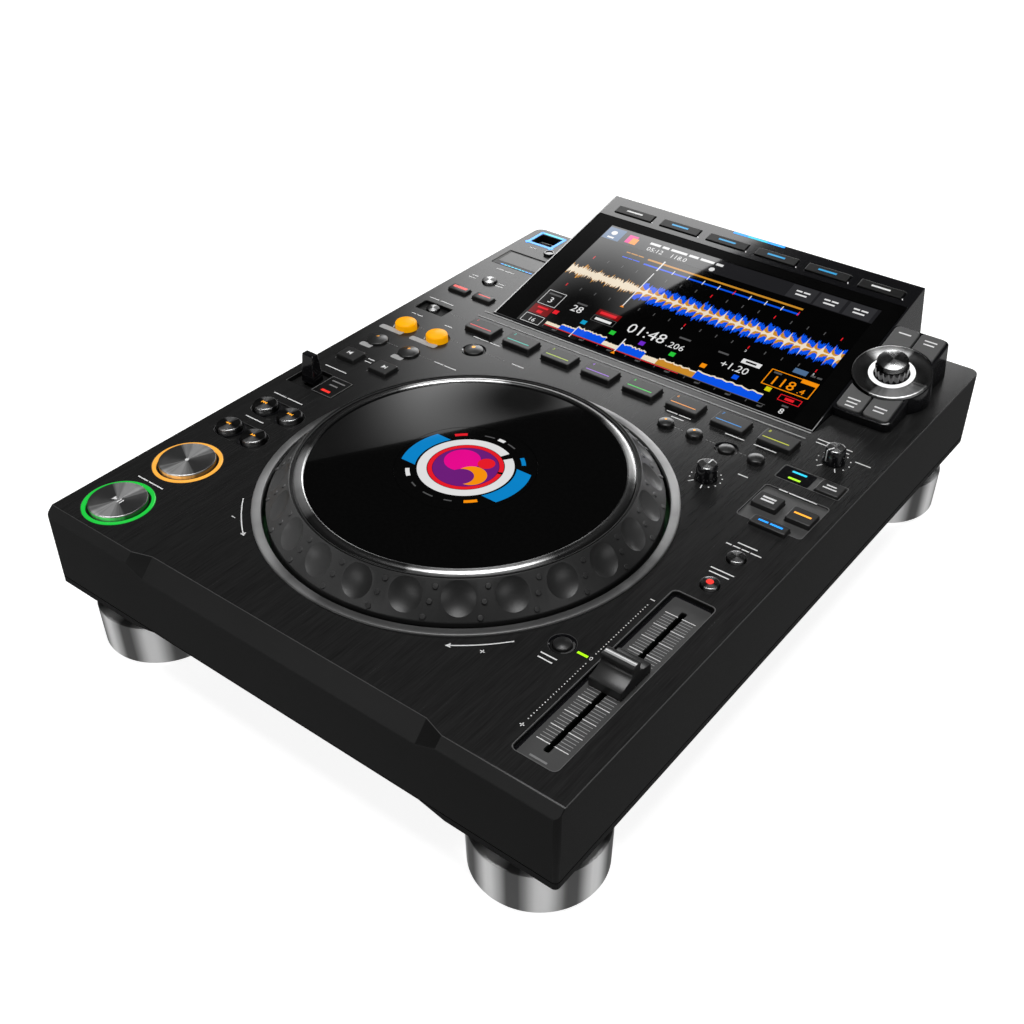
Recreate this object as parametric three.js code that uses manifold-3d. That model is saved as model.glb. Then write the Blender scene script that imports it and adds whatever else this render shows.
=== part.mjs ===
// A tabletop media player for mixing music: a shallow case on four round feet, with a large jog
// wheel, a tilted screen, a tempo slider and rows of buttons. Millimetres, +Z up, +Y to the back.
// The origin is on the table, at the middle of the box round the whole player.
import * as THREE from "three";
import { mergeVertices } from "three/addons/utils/BufferGeometryUtils.js";
import { ConvexGeometry } from "three/addons/geometries/ConvexGeometry.js";
import Module from "manifold-3d";

// Case
const bodyWidth = 329;
const deckHeight = 85;
const undersideHeight = 37.2;
const frontCornerRadius = 2.5;
const rearCornerRadius = 6;
const deckThickness = 5;
const caseWall = 3;
const frontWall = 7;
const bottomThickness = 4;
const bevelBack = 4.9;
const bevelDown = 4.2;
const noseBevelBack = 8.6;
const noseBevelDown = 9;
const noseHalfLength = 89;
const noseRunOut = 11.5;
const chinBack = 5;
const chinUp = 3.5;
const chinRunOut = 15;

// Rooms on the deck: a column of controls on each side of the jog wheel, and what lies before and
// behind the wheel
const columnWidth = 53.2;
const frontRoom = 31.8;
const rearRoom = 170.6;

// Tilted screen unit, a little wider than the jog wheel
const screenLap = 2.2;
const screenOffset = 2.4;
const screenLift = 0.5;
const screenTilt = THREE.MathUtils.degToRad(13.25);
const screenOverhang = 27.84;
const screenRearHeight = 46.2;
const screenSink = 8;
const housingWall = 2.5;
const housingRim = 1.2;
const keyShelf = 23;
const glassThickness = 1.2;
const glassBed = 2;

// Jog wheel
const jogRingWidth = 5.1;
const jogRingHeight = 1.6;
const jogRingEdge = 0.5;
const jogRingLap = 0.2;
const jogSkirtGap = 2.3;
const jogSkirtRun = 13.3;
const jogSkirtTop = 2.2;
const jogSkirtDrop = 8;
const jogSlopeTop = 17.6;
const jogGrooveWidth = 2.2;
const jogGrooveDepth = 1.4;
const jogRimWidth = 5.2;
const jogTop = 18.3;
const jogDishDrop = 1.6;
const jogWall = 3;
const jogDisplayRadius = 37;
const jogDisplayThickness = 4;
const jogWebThickness = 4;
const jogStemRadius = 12;
const jogBossRadius = 18;
const dimpleCount = 24;
const dimpleRadius = 8.3;
const dimpleDepth = 2;
const dimpleShoulderShare = 0.6;
const dimpleShoulderDepthShare = 0.64;

// Feet
const footInset = 35;
const footRadius = 33;
const footRimRadius = 34;
const footDrumHeight = 27;
const footNeckRadius = 28;
const footEdge = 1.5;

// Fits
const clearance = 0.3;
const wheelClearance = 0.4;
const overrun = 2;
const seamGap = 0.3;
const flangeReach = 0.8;
const flangeThickness = 1.2;
const ringRecessDepth = 1;
const boardThickness = 1.6;
const boardDrop = 14;
const boardGap = 2;
const boardPostRadius = 4;
const boardPostInset = 22;

const largeSegments = 48;
const mediumSegments = 24;
const smallSegments = 12;
const cornerSegments = 2;
const keyCornerSegments = 1;
const pillSegments = 5;

// Worked out from the sizes above
const sideX = bodyWidth / 2;
const jogRingRadius = sideX - columnWidth;
const jogRingInnerRadius = jogRingRadius - jogRingWidth;
const jogHoleRadius = jogRingInnerRadius - jogRingLap;
const jogSkirtRadius = jogHoleRadius - jogSkirtGap;
const jogSlopeRadius = jogSkirtRadius - jogSkirtRun;
const jogZone = frontRoom + 2 * jogRingRadius;
const bodyDepth = jogZone + rearRoom;
const screenWidth = 2 * (jogRingRadius + screenLap);
const overallDepth = bodyDepth + screenOverhang;
const screenFrontShare = 0.2966;
const screenFront = jogZone + screenFrontShare * rearRoom;
const screenReach = overallDepth - screenFront;
const screenLength = screenReach / Math.cos(screenTilt) - screenRearHeight * Math.tan(screenTilt);
const glassLength = screenLength - keyShelf;
const frontY = -overallDepth / 2;
const rearY = frontY + bodyDepth;
const screenFrontY = frontY + screenFront;
const sinkHeight = deckHeight - screenSink;
const seamHeight = undersideHeight + bottomThickness;
const boardHeight = deckHeight - boardDrop;

// Places on the deck, as a share across and a share back. Across, 0 is the centre line, 1 the jog
// wheel's ring and 2 the side. Back, 0 is the front, 1 the back of the ring and 2 the rear.
const sliderPlaceShares = [1.5189, 0.3166];
const leverPlaceShares = [-1.6537, 0.6941];
const jogKnobPlaceShares = [0.824, 0.9095];
const brakeKnobPlaceShares = [1.5099, 1.1874];
const doorPlaceShares = [-1.5516, 1.6961];
const portPlaceShares = [-1.6815, 1.9183];
const syncPlatePlaceShares = [1.5074, 0.8858];
const timePlatePlaceShares = [-1.6521, 1.1899];
const modePlatePlaceShares = [1.5022, 1.0426];
const padRowShare = 1.1704;

// Button families: the cap above the deck, its rounded edge and crown, and the press
const largeCap = { radius: 15.5, height: 2.6, edge: 0.8, crown: -0.6, segments: mediumSegments };
const spunCap = { radius: 7.3, height: 2.8, edge: 0.9, crown: 0.2, segments: smallSegments };
const lowCap = { radius: 6.6, height: 1.4, edge: 0.6, crown: 0.9, segments: smallSegments };
const domeCap = { radius: 6.9, height: 4, edge: 1.4, crown: 0.6, ring: 8.1, segments: smallSegments };
const sunkCap = { radius: 5.9, height: 0.8, edge: 0.6, crown: 0.7, ring: 7.4, segments: smallSegments };
const pegCap = { radius: 4.6, height: 2.6, edge: 0.9, crown: 0.6, segments: smallSegments };
const wellCap = { radius: 4.5, height: 0.6, edge: 0.7, crown: 0.6, ring: 6.6, segments: smallSegments };
const smallCap = { radius: 4.9, height: 1.6, edge: 0.7, crown: 0.2, segments: smallSegments };
const timeCap = { radius: 4.4, height: -0.6, edge: 0.6, crown: 0.2, segments: smallSegments };

const roundButtons = {
  play_button: { cap: largeCap, placeShares: [-1.5068, 0.1057], finish: "darkMetal" },
  cue_button: { cap: largeCap, placeShares: [-1.5006, 0.2877], finish: "darkMetal" },
  search_back_button: { cap: spunCap, placeShares: [-1.6444, 0.4335], finish: "glossBlack" },
  search_forward_button: { cap: spunCap, placeShares: [-1.2734, 0.4335], finish: "glossBlack" },
  track_back_button: { cap: spunCap, placeShares: [-1.6351, 0.5413], finish: "glossBlack" },
  track_forward_button: { cap: spunCap, placeShares: [-1.2641, 0.5413], finish: "glossBlack" },
  loop_halve_button: { cap: lowCap, placeShares: [-1.6568, 0.918], finish: "keyBlack" },
  loop_double_button: { cap: lowCap, placeShares: [-1.1729, 0.918], finish: "keyBlack" },
  loop_in_button: { cap: domeCap, placeShares: [-1.6104, 1.0185], finish: "amber" },
  loop_out_button: { cap: domeCap, placeShares: [-1.1311, 1.0185], finish: "amber" },
  loop_exit_button: { cap: sunkCap, placeShares: [-0.8195, 1.0371], finish: "keyBlack" },
  time_mode_button: { cap: timeCap, placeShares: [-1.6815, 1.1966], finish: "glossBlack" },
  media_stop_button: { cap: smallCap, placeShares: [-1.547, 1.4881], finish: "glossBlack" },
  call_back_button: { cap: pegCap, placeShares: [0.4242, 1.0434], finish: "keyBlack" },
  call_forward_button: { cap: pegCap, placeShares: [0.5912, 1.0434], finish: "keyBlack" },
  delete_button: { cap: wellCap, placeShares: [0.7759, 1.0434], finish: "keyBlack" },
  memory_button: { cap: pegCap, placeShares: [0.9437, 1.0384], finish: "keyBlack" },
  tempo_range_button: { cap: smallCap, placeShares: [1.5207, 0.7137], finish: "glossBlack" },
  pitch_lock_button: { cap: smallCap, placeShares: [1.5207, 0.6161], finish: "glossBlack" },
  tempo_reset_button: { cap: wellCap, placeShares: [0.9666, 0.3177], finish: "keyBlack" },
};

// Key families: width, depth and height of the cap above the deck
const padCount = 8;
const padOverhang = 5.42;
const padGap = 8.73;
const padPitch = (screenWidth + 2 * padOverhang) / padCount;
const jumpKey = { width: 14.4, depth: 11.8, height: 2.5, corner: 0.6, edge: 0.5 };
const litKey = { width: 14.6, depth: 7.4, height: 2, corner: 0.6, edge: 0.5 };
const padKey = { width: padPitch - padGap, depth: 13, height: 3, corner: 0.8, edge: 0.6 };
const modeKey = { width: 13.8, depth: 11.2, height: 1.2, corner: 0.5, edge: 0.4 };
const syncKey = { width: 14.4, depth: 11.8, height: 2, corner: 0.6, edge: 0.5 };
const longKey = { width: 20.4, depth: 7.2, height: 2, corner: 0.6, edge: 0.5 };

const keys = {
  jump_back_key: { key: jumpKey, placeShares: [-1.6413, 0.8219] },
  jump_forward_key: { key: jumpKey, placeShares: [-1.1481, 0.8219] },
  quantise_key: { key: litKey, placeShares: [-1.6899, 1.3583] },
  slip_key: { key: litKey, placeShares: [-1.3089, 1.3583] },
  jog_mode_key: { key: modeKey, placeShares: [1.7069, 1.0426] },
  beat_sync_key: { key: syncKey, placeShares: [1.329, 0.9096] },
  master_key: { key: syncKey, placeShares: [1.7093, 0.9046] },
  pitch_sync_key: { key: longKey, placeShares: [1.5269, 0.8411] },
};

// Shallow recesses and plates in the deck
const pillWidth = 36;
const pillDepth = 17;
const pillSink = 0.8;
const sliderTray = { width: 23.1, length: 126.5, sink: 2.8, corner: 2.5 };
const syncPlate = { width: 36.4, depth: 31.8, sink: 0.8, corner: 2 };
const timePlate = { width: 22.6, depth: 11.4, sink: 2.4, corner: 0.8 };
const modePlate = { width: 36.6, depth: 12.6, sink: 0.4, corner: 1 };

// Tempo slider
const sliderTravel = 50;
const sliderCap = { width: 17.4, length: 24, height: 10, ridge: 5.4, waist: 3.4, lip: 2.4, lipHeight: 2.6 };
const sliderStem = { width: 2, length: 8, drop: 8.5 };

// Direction lever
const leverTravelAngle = THREE.MathUtils.degToRad(14);
const leverPaddle = { width: 10.4, topWidth: 8.9, thickness: 8.6, topThickness: 4.6, height: 17 };
const leverStem = { width: 6, thickness: 4 };
const leverPivotDrop = 9;
const leverWell = { width: 18.4, depth: 20, sink: 3, shift: 2.2 };
const leverPinRadius = 1.6;
const leverEar = { thickness: 2, depth: 7, drop: 3 };

// Small turning knobs
const trimKnob = { radius: 6.2, topRadius: 5.6, height: 9, edge: 0.8, skirt: 1.6, shaft: 3, drop: 9 };

// Card door and media port
const cardDoor = { width: 35.4, depth: 21, thickness: 2, sink: 0.2, bed: 0.6, gap: 0.5 };
const mediaPort = { width: 17, depth: 14, corner: 1, wall: 1.4 };

// Keys and knob beside the screen, in the screen's own plane
const selector = { outward: 16.7, up: 62.2, radius: 22.5, blockRadius: 22.9 };
const selectorBlock = { outward: 34.1, front: 22.6, back: 102.4, corner: 2 };
const selectorAcross = screenWidth / 2 + selector.outward;
const selectorKey = { width: 14.9, height: 1.2, front: 24, back: 101, gap: 1.2, corner: 0.8, edge: 0.4 };
const selectorRing = { inner: 10.4, height: 2.2, dish: 0.9, edge: 0.5 };
const selectorKnob = { radius: 9.5, flute: 0.5, flutes: 16, height: 11, edge: 0.8, shaft: 3, drop: 8 };
const keyStrip = { count: 6, endRoom: 5.5, gap: 7, offset: 1, fromBack: 12.9, baseDepth: 11, base: 1.2 };
const stripPitch = (screenWidth - 2 * keyStrip.endRoom) / keyStrip.count;
const stripUp = screenLength - keyStrip.fromBack;
const stripKey = { width: stripPitch - keyStrip.gap, depth: 7.4, height: 0.8, corner: 0.8, edge: 0.3 };

// Sockets in the back wall: power inlet, network and computer ports
const rearSockets = [
  { acrossShare: -0.62, width: 27.5, height: 20 },
  { acrossShare: 0.3, width: 15, height: 13 },
  { acrossShare: 0.45, width: 12, height: 11 },
];
const rearSocketHeight = 22;
const rearSocketDepth = 14;
const rearSocketWall = 1.5;

const axisX = new THREE.Vector3(1, 0, 0);
const axisY = new THREE.Vector3(0, 1, 0);
const axisZ = new THREE.Vector3(0, 0, 1);

const wasm = await Module();
wasm.setup();

// A closed geometry as a solid that can be joined and cut
function solid(geometry) {
  const plain = geometry.clone();
  plain.deleteAttribute("normal");
  plain.deleteAttribute("uv");
  const merged = mergeVertices(plain);
  const index = merged.index.array;
  const triangles = [];
  for (let i = 0; i < index.length; i += 3) {
    const [a, b, c] = [index[i], index[i + 1], index[i + 2]];
    if (a !== b && b !== c && c !== a) {
      triangles.push(a, b, c);
    }
  }
  const vertProperties = new Float32Array(merged.attributes.position.array);
  const mesh = new wasm.Mesh({ numProp: 3, vertProperties, triVerts: new Uint32Array(triangles) });
  return new wasm.Manifold(mesh);
}

function geometryOf(body) {
  const mesh = body.getMesh();
  const geometry = new THREE.BufferGeometry();
  geometry.setAttribute("position", new THREE.BufferAttribute(mesh.vertProperties, mesh.numProp));
  geometry.setIndex(new THREE.BufferAttribute(mesh.triVerts, 1));
  geometry.computeVertexNormals();
  return geometry;
}

// A box from its lowest and highest corners
function box(low, high) {
  const size = high.map((value, i) => value - low[i]);
  const middle = high.map((value, i) => (value + low[i]) / 2);
  return solid(new THREE.BoxGeometry(...size).translate(...middle));
}

// A turned solid from its half section, listed anticlockwise as [radius, height] pairs
function turned(section, segments) {
  const points = section.map(([radius, height]) => new THREE.Vector2(radius, height));
  return new THREE.LatheGeometry(points, segments).rotateX(Math.PI / 2);
}

function cylinder(radius, low, high, segments) {
  return turned([[0, low], [radius, low], [radius, high], [0, high]], segments);
}

function roundedRectangle(width, depth, radius) {
  const [x, y] = [width / 2, depth / 2];
  const shape = new THREE.Shape();
  shape.moveTo(radius - x, -y);
  shape.lineTo(x - radius, -y);
  shape.absarc(x - radius, radius - y, radius, -Math.PI / 2, 0);
  shape.lineTo(x, y - radius);
  shape.absarc(x - radius, y - radius, radius, 0, Math.PI / 2);
  shape.lineTo(radius - x, y);
  shape.absarc(radius - x, y - radius, radius, Math.PI / 2, Math.PI);
  shape.lineTo(-x, radius - y);
  shape.absarc(radius - x, radius - y, radius, Math.PI, Math.PI * 1.5);
  return shape;
}

// A flat outline raised from one height to another
function raised(shape, low, high, curveSegments = cornerSegments) {
  const settings = { depth: high - low, bevelEnabled: false, curveSegments };
  return new THREE.ExtrudeGeometry(shape, settings).translate(0, 0, low);
}

// A side outline in Y and Z, given its width along X
function alongX(points, width) {
  const shape = new THREE.Shape(points.map(([y, z]) => new THREE.Vector2(y, z)));
  const geometry = new THREE.ExtrudeGeometry(shape, { depth: width, bevelEnabled: false });
  geometry.translate(0, 0, -width / 2);
  return geometry.applyMatrix4(new THREE.Matrix4().makeBasis(axisY, axisZ, axisX));
}

// A cap with rounded top edges, from a height under the deck up to its top
function bevelledBlock(shape, low, high, edge) {
  const settings = {
    depth: high - low - 2 * edge,
    bevelThickness: edge,
    bevelSize: edge,
    bevelOffset: -edge,
    bevelSegments: 1,
    curveSegments: keyCornerSegments,
  };
  return new THREE.ExtrudeGeometry(shape, settings).translate(0, 0, low + edge);
}

// A length from a share: up to 1 over the first stretch, and on to 2 over the next
function stretched(share, first, next) {
  return share <= 1 ? share * first : first + (share - 1) * next;
}

function deckPoint([acrossShare, backShare]) {
  const x = Math.sign(acrossShare) * stretched(Math.abs(acrossShare), jogRingRadius, columnWidth);
  return [x, frontY + stretched(backShare, jogZone, rearRoom)];
}

function moved(geometry, [x, y]) {
  return geometry.translate(x, y, 0);
}

// Finishes
const finishes = {
  caseBlack: [0x1c1c1d, 0.6, 0.2],
  deckBlack: [0x262627, 0.5, 0.3],
  keyBlack: [0x1a1a1b, 0.45, 0.1],
  glossBlack: [0x0b0b0c, 0.15, 0.4],
  darkMetal: [0x2e2f31, 0.3, 0.9],
  silver: [0xb4b6b8, 0.35, 0.9],
  jogBlack: [0x141415, 0.4, 0.2],
  amber: [0xffb52b, 0.4, 0],
  glass: [0x050506, 0.08, 0],
  boardGreen: [0x1d4a33, 0.7, 0],
};

function finished(name, body, finish) {
  const [color, roughness, metalness] = finishes[finish];
  const material = new THREE.MeshStandardMaterial({ color, roughness, metalness });
  const mesh = new THREE.Mesh(geometryOf(body), material);
  mesh.name = name;
  return mesh;
}

const player = new THREE.Group();
const screenGroup = new THREE.Group();
screenGroup.position.set(screenOffset, screenFrontY, deckHeight + screenLift);
screenGroup.rotation.x = screenTilt;
player.add(screenGroup);

const jogCentre = [0, frontY + frontRoom + jogRingRadius];
const jogWebTop = jogTop - jogDishDrop - jogDisplayThickness - clearance;

// The whole case as one block, with its front bevels, before it is parted at the seam
function bodyBlock() {
  const outline = new THREE.Shape();
  const [front, rear] = [frontCornerRadius, rearCornerRadius];
  outline.moveTo(front - sideX, frontY);
  outline.lineTo(sideX - front, frontY);
  outline.absarc(sideX - front, frontY + front, front, -Math.PI / 2, 0);
  outline.lineTo(sideX, rearY - rear);
  outline.absarc(sideX - rear, rearY - rear, rear, 0, Math.PI / 2);
  outline.lineTo(rear - sideX, rearY);
  outline.absarc(rear - sideX, rearY - rear, rear, Math.PI / 2, Math.PI);
  outline.lineTo(-sideX, frontY + front);
  outline.absarc(front - sideX, frontY + front, front, Math.PI, Math.PI * 1.5);
  const profile = [
    [frontY, undersideHeight],
    [rearY, undersideHeight],
    [rearY, deckHeight],
    [frontY + bevelBack, deckHeight],
    [frontY, deckHeight - bevelDown],
  ];
  const upright = solid(raised(outline, undersideHeight, deckHeight));
  return solid(alongX(profile, bodyWidth)).intersect(upright);
}

// A wedge off a front edge that fades out towards both ends
function edgeWedge(edgeHeight, inward, middle, ends, runOut) {
  const points = [];
  for (const side of [-1, 1]) {
    const near = side * noseHalfLength;
    const far = side * (noseHalfLength + runOut);
    points.push([near, frontY + middle[0], edgeHeight], [near, frontY, edgeHeight + inward * middle[1]]);
    points.push([far, frontY + ends[0], edgeHeight], [far, frontY, edgeHeight + inward * ends[1]]);
    points.push([far, frontY - overrun, edgeHeight - inward * overrun]);
  }
  return solid(new ConvexGeometry(points.map((point) => new THREE.Vector3(...point))));
}

const nose = edgeWedge(
  deckHeight,
  -1,
  [noseBevelBack, noseBevelDown],
  [bevelBack, bevelDown],
  noseRunOut,
);
const chin = edgeWedge(undersideHeight, 1, [chinBack, chinUp], [0, 0], chinRunOut);
const wholeBody = bodyBlock().subtract(nose).subtract(chin);

// Round button: a cap, its body through the panel, and a flange that holds it from below
function roundButton(cap) {
  const flangeTop = -deckThickness - clearance;
  const flangeLow = flangeTop - flangeThickness;
  const section = [
    [0, flangeLow],
    [cap.radius + flangeReach, flangeLow],
    [cap.radius + flangeReach, flangeTop],
    [cap.radius, flangeTop],
    [cap.radius, cap.height - cap.edge],
    [cap.radius - cap.edge, cap.height],
    [0, cap.height + cap.crown],
  ];
  return solid(turned(section, cap.segments));
}

// Rectangular key with the same flange
function keyBody(key) {
  const flangeTop = -deckThickness - clearance;
  const outline = roundedRectangle(key.width, key.depth, key.corner);
  const cap = bevelledBlock(outline, flangeTop - flangeThickness, key.height, key.edge);
  const [x, y] = [key.width / 2 + flangeReach, key.depth / 2 + flangeReach];
  const flange = box([-x, -y, flangeTop - flangeThickness], [x, y, flangeTop]);
  return solid(cap).add(flange);
}

function keyHole(key) {
  const outline = roundedRectangle(
    key.width + 2 * clearance,
    key.depth + 2 * clearance,
    key.corner + clearance,
  );
  return raised(outline, -deckThickness - overrun, overrun, keyCornerSegments);
}

const padPlaces = [];
for (let i = 0; i < padCount; i += 1) {
  const across = screenOffset + (i - (padCount - 1) / 2) * padPitch;
  padPlaces.push([across, deckPoint([0, padRowShare])[1]]);
}

// A sunk plate in the deck
function sunkPlate(plate, length) {
  const outline = roundedRectangle(plate.width, length, plate.corner);
  return raised(outline, -plate.sink, overrun);
}

function pairMiddle(left, right) {
  const [a, b] = [deckPoint(roundButtons[left].placeShares), deckPoint(roundButtons[right].placeShares)];
  return [(a[0] + b[0]) / 2, (a[1] + b[1]) / 2];
}

// Everything that is cut out of the deck panel, at deck height
function deckCuts() {
  const cuts = [];
  for (const { cap, placeShares } of Object.values(roundButtons)) {
    const hole = cylinder(cap.radius + clearance, -deckThickness - overrun, overrun, cap.segments);
    cuts.push(moved(hole, deckPoint(placeShares)));
    if (cap.ring) {
      cuts.push(moved(cylinder(cap.ring, -ringRecessDepth, overrun, cap.segments), deckPoint(placeShares)));
    }
  }
  for (const { key, placeShares } of Object.values(keys)) {
    cuts.push(moved(keyHole(key), deckPoint(placeShares)));
  }
  for (const place of padPlaces) {
    cuts.push(moved(keyHole(padKey), place));
  }
  for (const row of ["search", "track"]) {
    const pill = roundedRectangle(pillWidth, pillDepth, pillDepth / 2 - clearance);
    const recess = raised(pill, -pillSink, overrun, pillSegments);
    cuts.push(moved(recess, pairMiddle(`${row}_back_button`, `${row}_forward_button`)));
  }
  cuts.push(moved(sunkPlate(sliderTray, sliderTray.length), deckPoint(sliderPlaceShares)));
  cuts.push(moved(sunkPlate(syncPlate, syncPlate.depth), deckPoint(syncPlatePlaceShares)));
  cuts.push(moved(sunkPlate(timePlate, timePlate.depth), deckPoint(timePlatePlaceShares)));
  cuts.push(moved(sunkPlate(modePlate, modePlate.depth), deckPoint(modePlatePlaceShares)));
  cuts.push(moved(cylinder(jogHoleRadius, -deckThickness - overrun, overrun, largeSegments), jogCentre));
  for (const placeShares of [jogKnobPlaceShares, brakeKnobPlaceShares]) {
    const hole = cylinder(trimKnob.shaft + clearance, -deckThickness - overrun, overrun, smallSegments);
    cuts.push(moved(hole, deckPoint(placeShares)));
  }
  return cuts;
}

// The lever's well, and the slot that its stem rocks in
function leverCuts() {
  const [x, y] = deckPoint(leverPlaceShares);
  const low = deckHeight - deckThickness - overrun;
  const swing = (leverPivotDrop - leverWell.sink) * Math.tan(leverTravelAngle);
  const halfSlot = leverStem.thickness / (2 * Math.cos(leverTravelAngle)) + swing + clearance;
  const slotX = leverStem.width / 2 + clearance;
  const well = leverWell;
  const wellMiddle = x - well.shift;
  const wellCut = box(
    [wellMiddle - well.width / 2, y - well.depth / 2, deckHeight - well.sink],
    [wellMiddle + well.width / 2, y + well.depth / 2, deckHeight + overrun],
  );
  return [wellCut, box([x - slotX, y - halfSlot, low], [x + slotX, y + halfSlot, deckHeight])];
}

// Two ears under the deck carry the lever's pin
function leverEars() {
  const [x, y] = deckPoint(leverPlaceShares);
  const ear = leverEar;
  const near = leverStem.width / 2 + clearance;
  const pivot = deckHeight - leverPivotDrop;
  const root = deckHeight - deckThickness / 2;
  const pinHole = new THREE.CylinderGeometry(
    leverPinRadius + clearance,
    leverPinRadius + clearance,
    2 * (near + ear.thickness + overrun),
    smallSegments,
  );
  const bored = solid(pinHole.rotateZ(Math.PI / 2).translate(x, y, pivot));
  const left = box(
    [x - near - ear.thickness, y - ear.depth / 2, pivot - ear.drop],
    [x - near, y + ear.depth / 2, root],
  );
  const right = box(
    [x + near, y - ear.depth / 2, pivot - ear.drop],
    [x + near + ear.thickness, y + ear.depth / 2, root],
  );
  return left.add(right).subtract(bored);
}

// The slot that the slider's stem runs in
function sliderSlot() {
  const [x, y] = deckPoint(sliderPlaceShares);
  const halfWidth = sliderStem.width / 2 + clearance;
  const halfLength = sliderTravel + sliderStem.length / 2 + clearance;
  const low = deckHeight - deckThickness - overrun;
  return box([x - halfWidth, y - halfLength, low], [x + halfWidth, y + halfLength, deckHeight]);
}

function doorRecess() {
  const [x, y] = deckPoint(doorPlaceShares);
  const [halfWidth, halfDepth] = [cardDoor.width / 2 + clearance, cardDoor.depth / 2];
  const low = deckHeight - cardDoor.sink - cardDoor.thickness - cardDoor.bed;
  return box(
    [x - halfWidth, y - halfDepth - clearance, low],
    [x + halfWidth, y + halfDepth + cardDoor.gap, deckHeight + overrun],
  );
}

const screenGapX = screenWidth / 2 + wheelClearance;
const sockets = rearSockets.map(({ acrossShare, width, height }) => {
  return { x: acrossShare * sideX, z: undersideHeight + rearSocketHeight, width, height };
});

// A box round a rear socket's opening, grown by a wall, from a depth inside the back wall
function socketBox({ x, z, width, height }, grow, inside, outside) {
  return box(
    [x - width / 2 - grow, rearY - inside, z - height / 2 - grow],
    [x + width / 2 + grow, rearY + outside, z + height / 2 + grow],
  );
}

// Upper case: the deck and its walls in one shell, open below
function upperCase() {
  const tall = deckHeight + overrun;
  const above = box(
    [-sideX - overrun, frontY - overrun, seamHeight],
    [sideX + overrun, rearY + overrun, tall],
  );
  const underDeck = deckHeight - deckThickness;
  const inside = box(
    [caseWall - sideX, frontY + frontWall, seamHeight - overrun],
    [sideX - caseWall, rearY - caseWall, underDeck],
  );
  let shell = wholeBody.intersect(above).subtract(inside);
  const port = mediaPort;
  const portPlace = deckPoint(portPlaceShares);
  const well = roundedRectangle(port.width + 2 * port.wall, port.depth + 2 * port.wall, port.corner);
  const wellFloor = boardHeight + boardThickness + clearance;
  const wellTop = deckHeight - deckThickness / 2;
  shell = shell.add(solid(moved(raised(well, wellFloor, wellTop), portPlace)));
  for (const socket of sockets) {
    shell = shell.add(socketBox(socket, rearSocketWall, rearSocketDepth, -caseWall / 2));
  }
  shell = shell.add(leverEars());
  for (const cut of deckCuts()) {
    shell = shell.subtract(solid(cut.translate(0, 0, deckHeight)));
  }
  for (const cut of [...leverCuts(), sliderSlot(), doorRecess()]) {
    shell = shell.subtract(cut);
  }
  const portHole = roundedRectangle(port.width, port.depth, port.corner);
  shell = shell.subtract(solid(moved(raised(portHole, boardHeight, tall), portPlace)));
  for (const socket of sockets) {
    shell = shell.subtract(socketBox(socket, 0, rearSocketDepth - rearSocketWall, overrun));
  }
  const screenGap = box(
    [screenOffset - screenGapX, screenFrontY - wheelClearance, sinkHeight - clearance],
    [screenOffset + screenGapX, rearY + overrun, tall],
  );
  return shell.subtract(screenGap);
}

// Board posts stand near the corners of the bottom plate
const boardX = sideX - boardPostInset;
const boardPosts = [
  [-boardX, frontY + boardPostInset],
  [boardX, frontY + boardPostInset],
  [-boardX, rearY - boardPostInset],
  [boardX, rearY - boardPostInset],
];

function bottomPlate() {
  const below = box(
    [-sideX - overrun, frontY - overrun, undersideHeight - overrun],
    [sideX + overrun, rearY + overrun, seamHeight - seamGap],
  );
  let plate = wholeBody.intersect(below);
  const postFoot = seamHeight - bottomThickness / 2;
  const bossTop = deckHeight + jogWebTop - jogWebThickness - clearance;
  plate = plate.add(solid(moved(cylinder(jogBossRadius, postFoot, bossTop, mediumSegments), jogCentre)));
  for (const place of boardPosts) {
    plate = plate.add(solid(moved(cylinder(boardPostRadius, postFoot, boardHeight, smallSegments), place)));
  }
  return plate;
}

function mainBoard() {
  const x = sideX - caseWall - boardGap;
  const plate = box(
    [-x, frontY + frontWall + boardGap, boardHeight],
    [x, rearY - caseWall - boardGap, boardHeight + boardThickness],
  );
  const bossHole = cylinder(
    jogBossRadius + clearance,
    boardHeight - overrun,
    boardHeight + boardThickness + overrun,
    mediumSegments,
  );
  return plate.subtract(solid(moved(bossHole, jogCentre)));
}

player.add(finished("upper_case", upperCase(), "deckBlack"));
player.add(finished("bottom_plate", bottomPlate(), "caseBlack"));
player.add(finished("main_board", mainBoard(), "boardGreen"));

// Feet: a metal drum under a dark neck, screwed to the floor of the case
const footSection = [
  [0, 0],
  [footRadius - footEdge, 0],
  [footRadius, footEdge],
  [footRimRadius, footDrumHeight - footEdge],
  [footRimRadius - footEdge, footDrumHeight],
  [footNeckRadius, footDrumHeight],
  [footNeckRadius, undersideHeight],
  [0, undersideHeight],
];
const footPlaces = {
  foot_front_left: [footInset - sideX, frontY + footInset],
  foot_front_right: [sideX - footInset, frontY + footInset],
  foot_rear_left: [footInset - sideX, rearY - footInset],
  foot_rear_right: [sideX - footInset, rearY - footInset],
};
for (const [name, [x, y]] of Object.entries(footPlaces)) {
  const foot = finished(name, solid(turned(footSection, mediumSegments)), "silver");
  foot.position.set(x, y, 0);
  player.add(foot);
}

// Buttons and keys on the deck
for (const [name, { cap, placeShares, finish }] of Object.entries(roundButtons)) {
  const button = finished(name, roundButton(cap), finish);
  button.position.set(...deckPoint(placeShares), deckHeight);
  player.add(button);
}
for (const [name, { key, placeShares }] of Object.entries(keys)) {
  const button = finished(name, keyBody(key), "keyBlack");
  button.position.set(...deckPoint(placeShares), deckHeight);
  player.add(button);
}
padPlaces.forEach((place, i) => {
  const pad = finished(`pad_key_${i + 1}`, keyBody(padKey), "keyBlack");
  pad.position.set(...place, deckHeight);
  player.add(pad);
});

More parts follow.
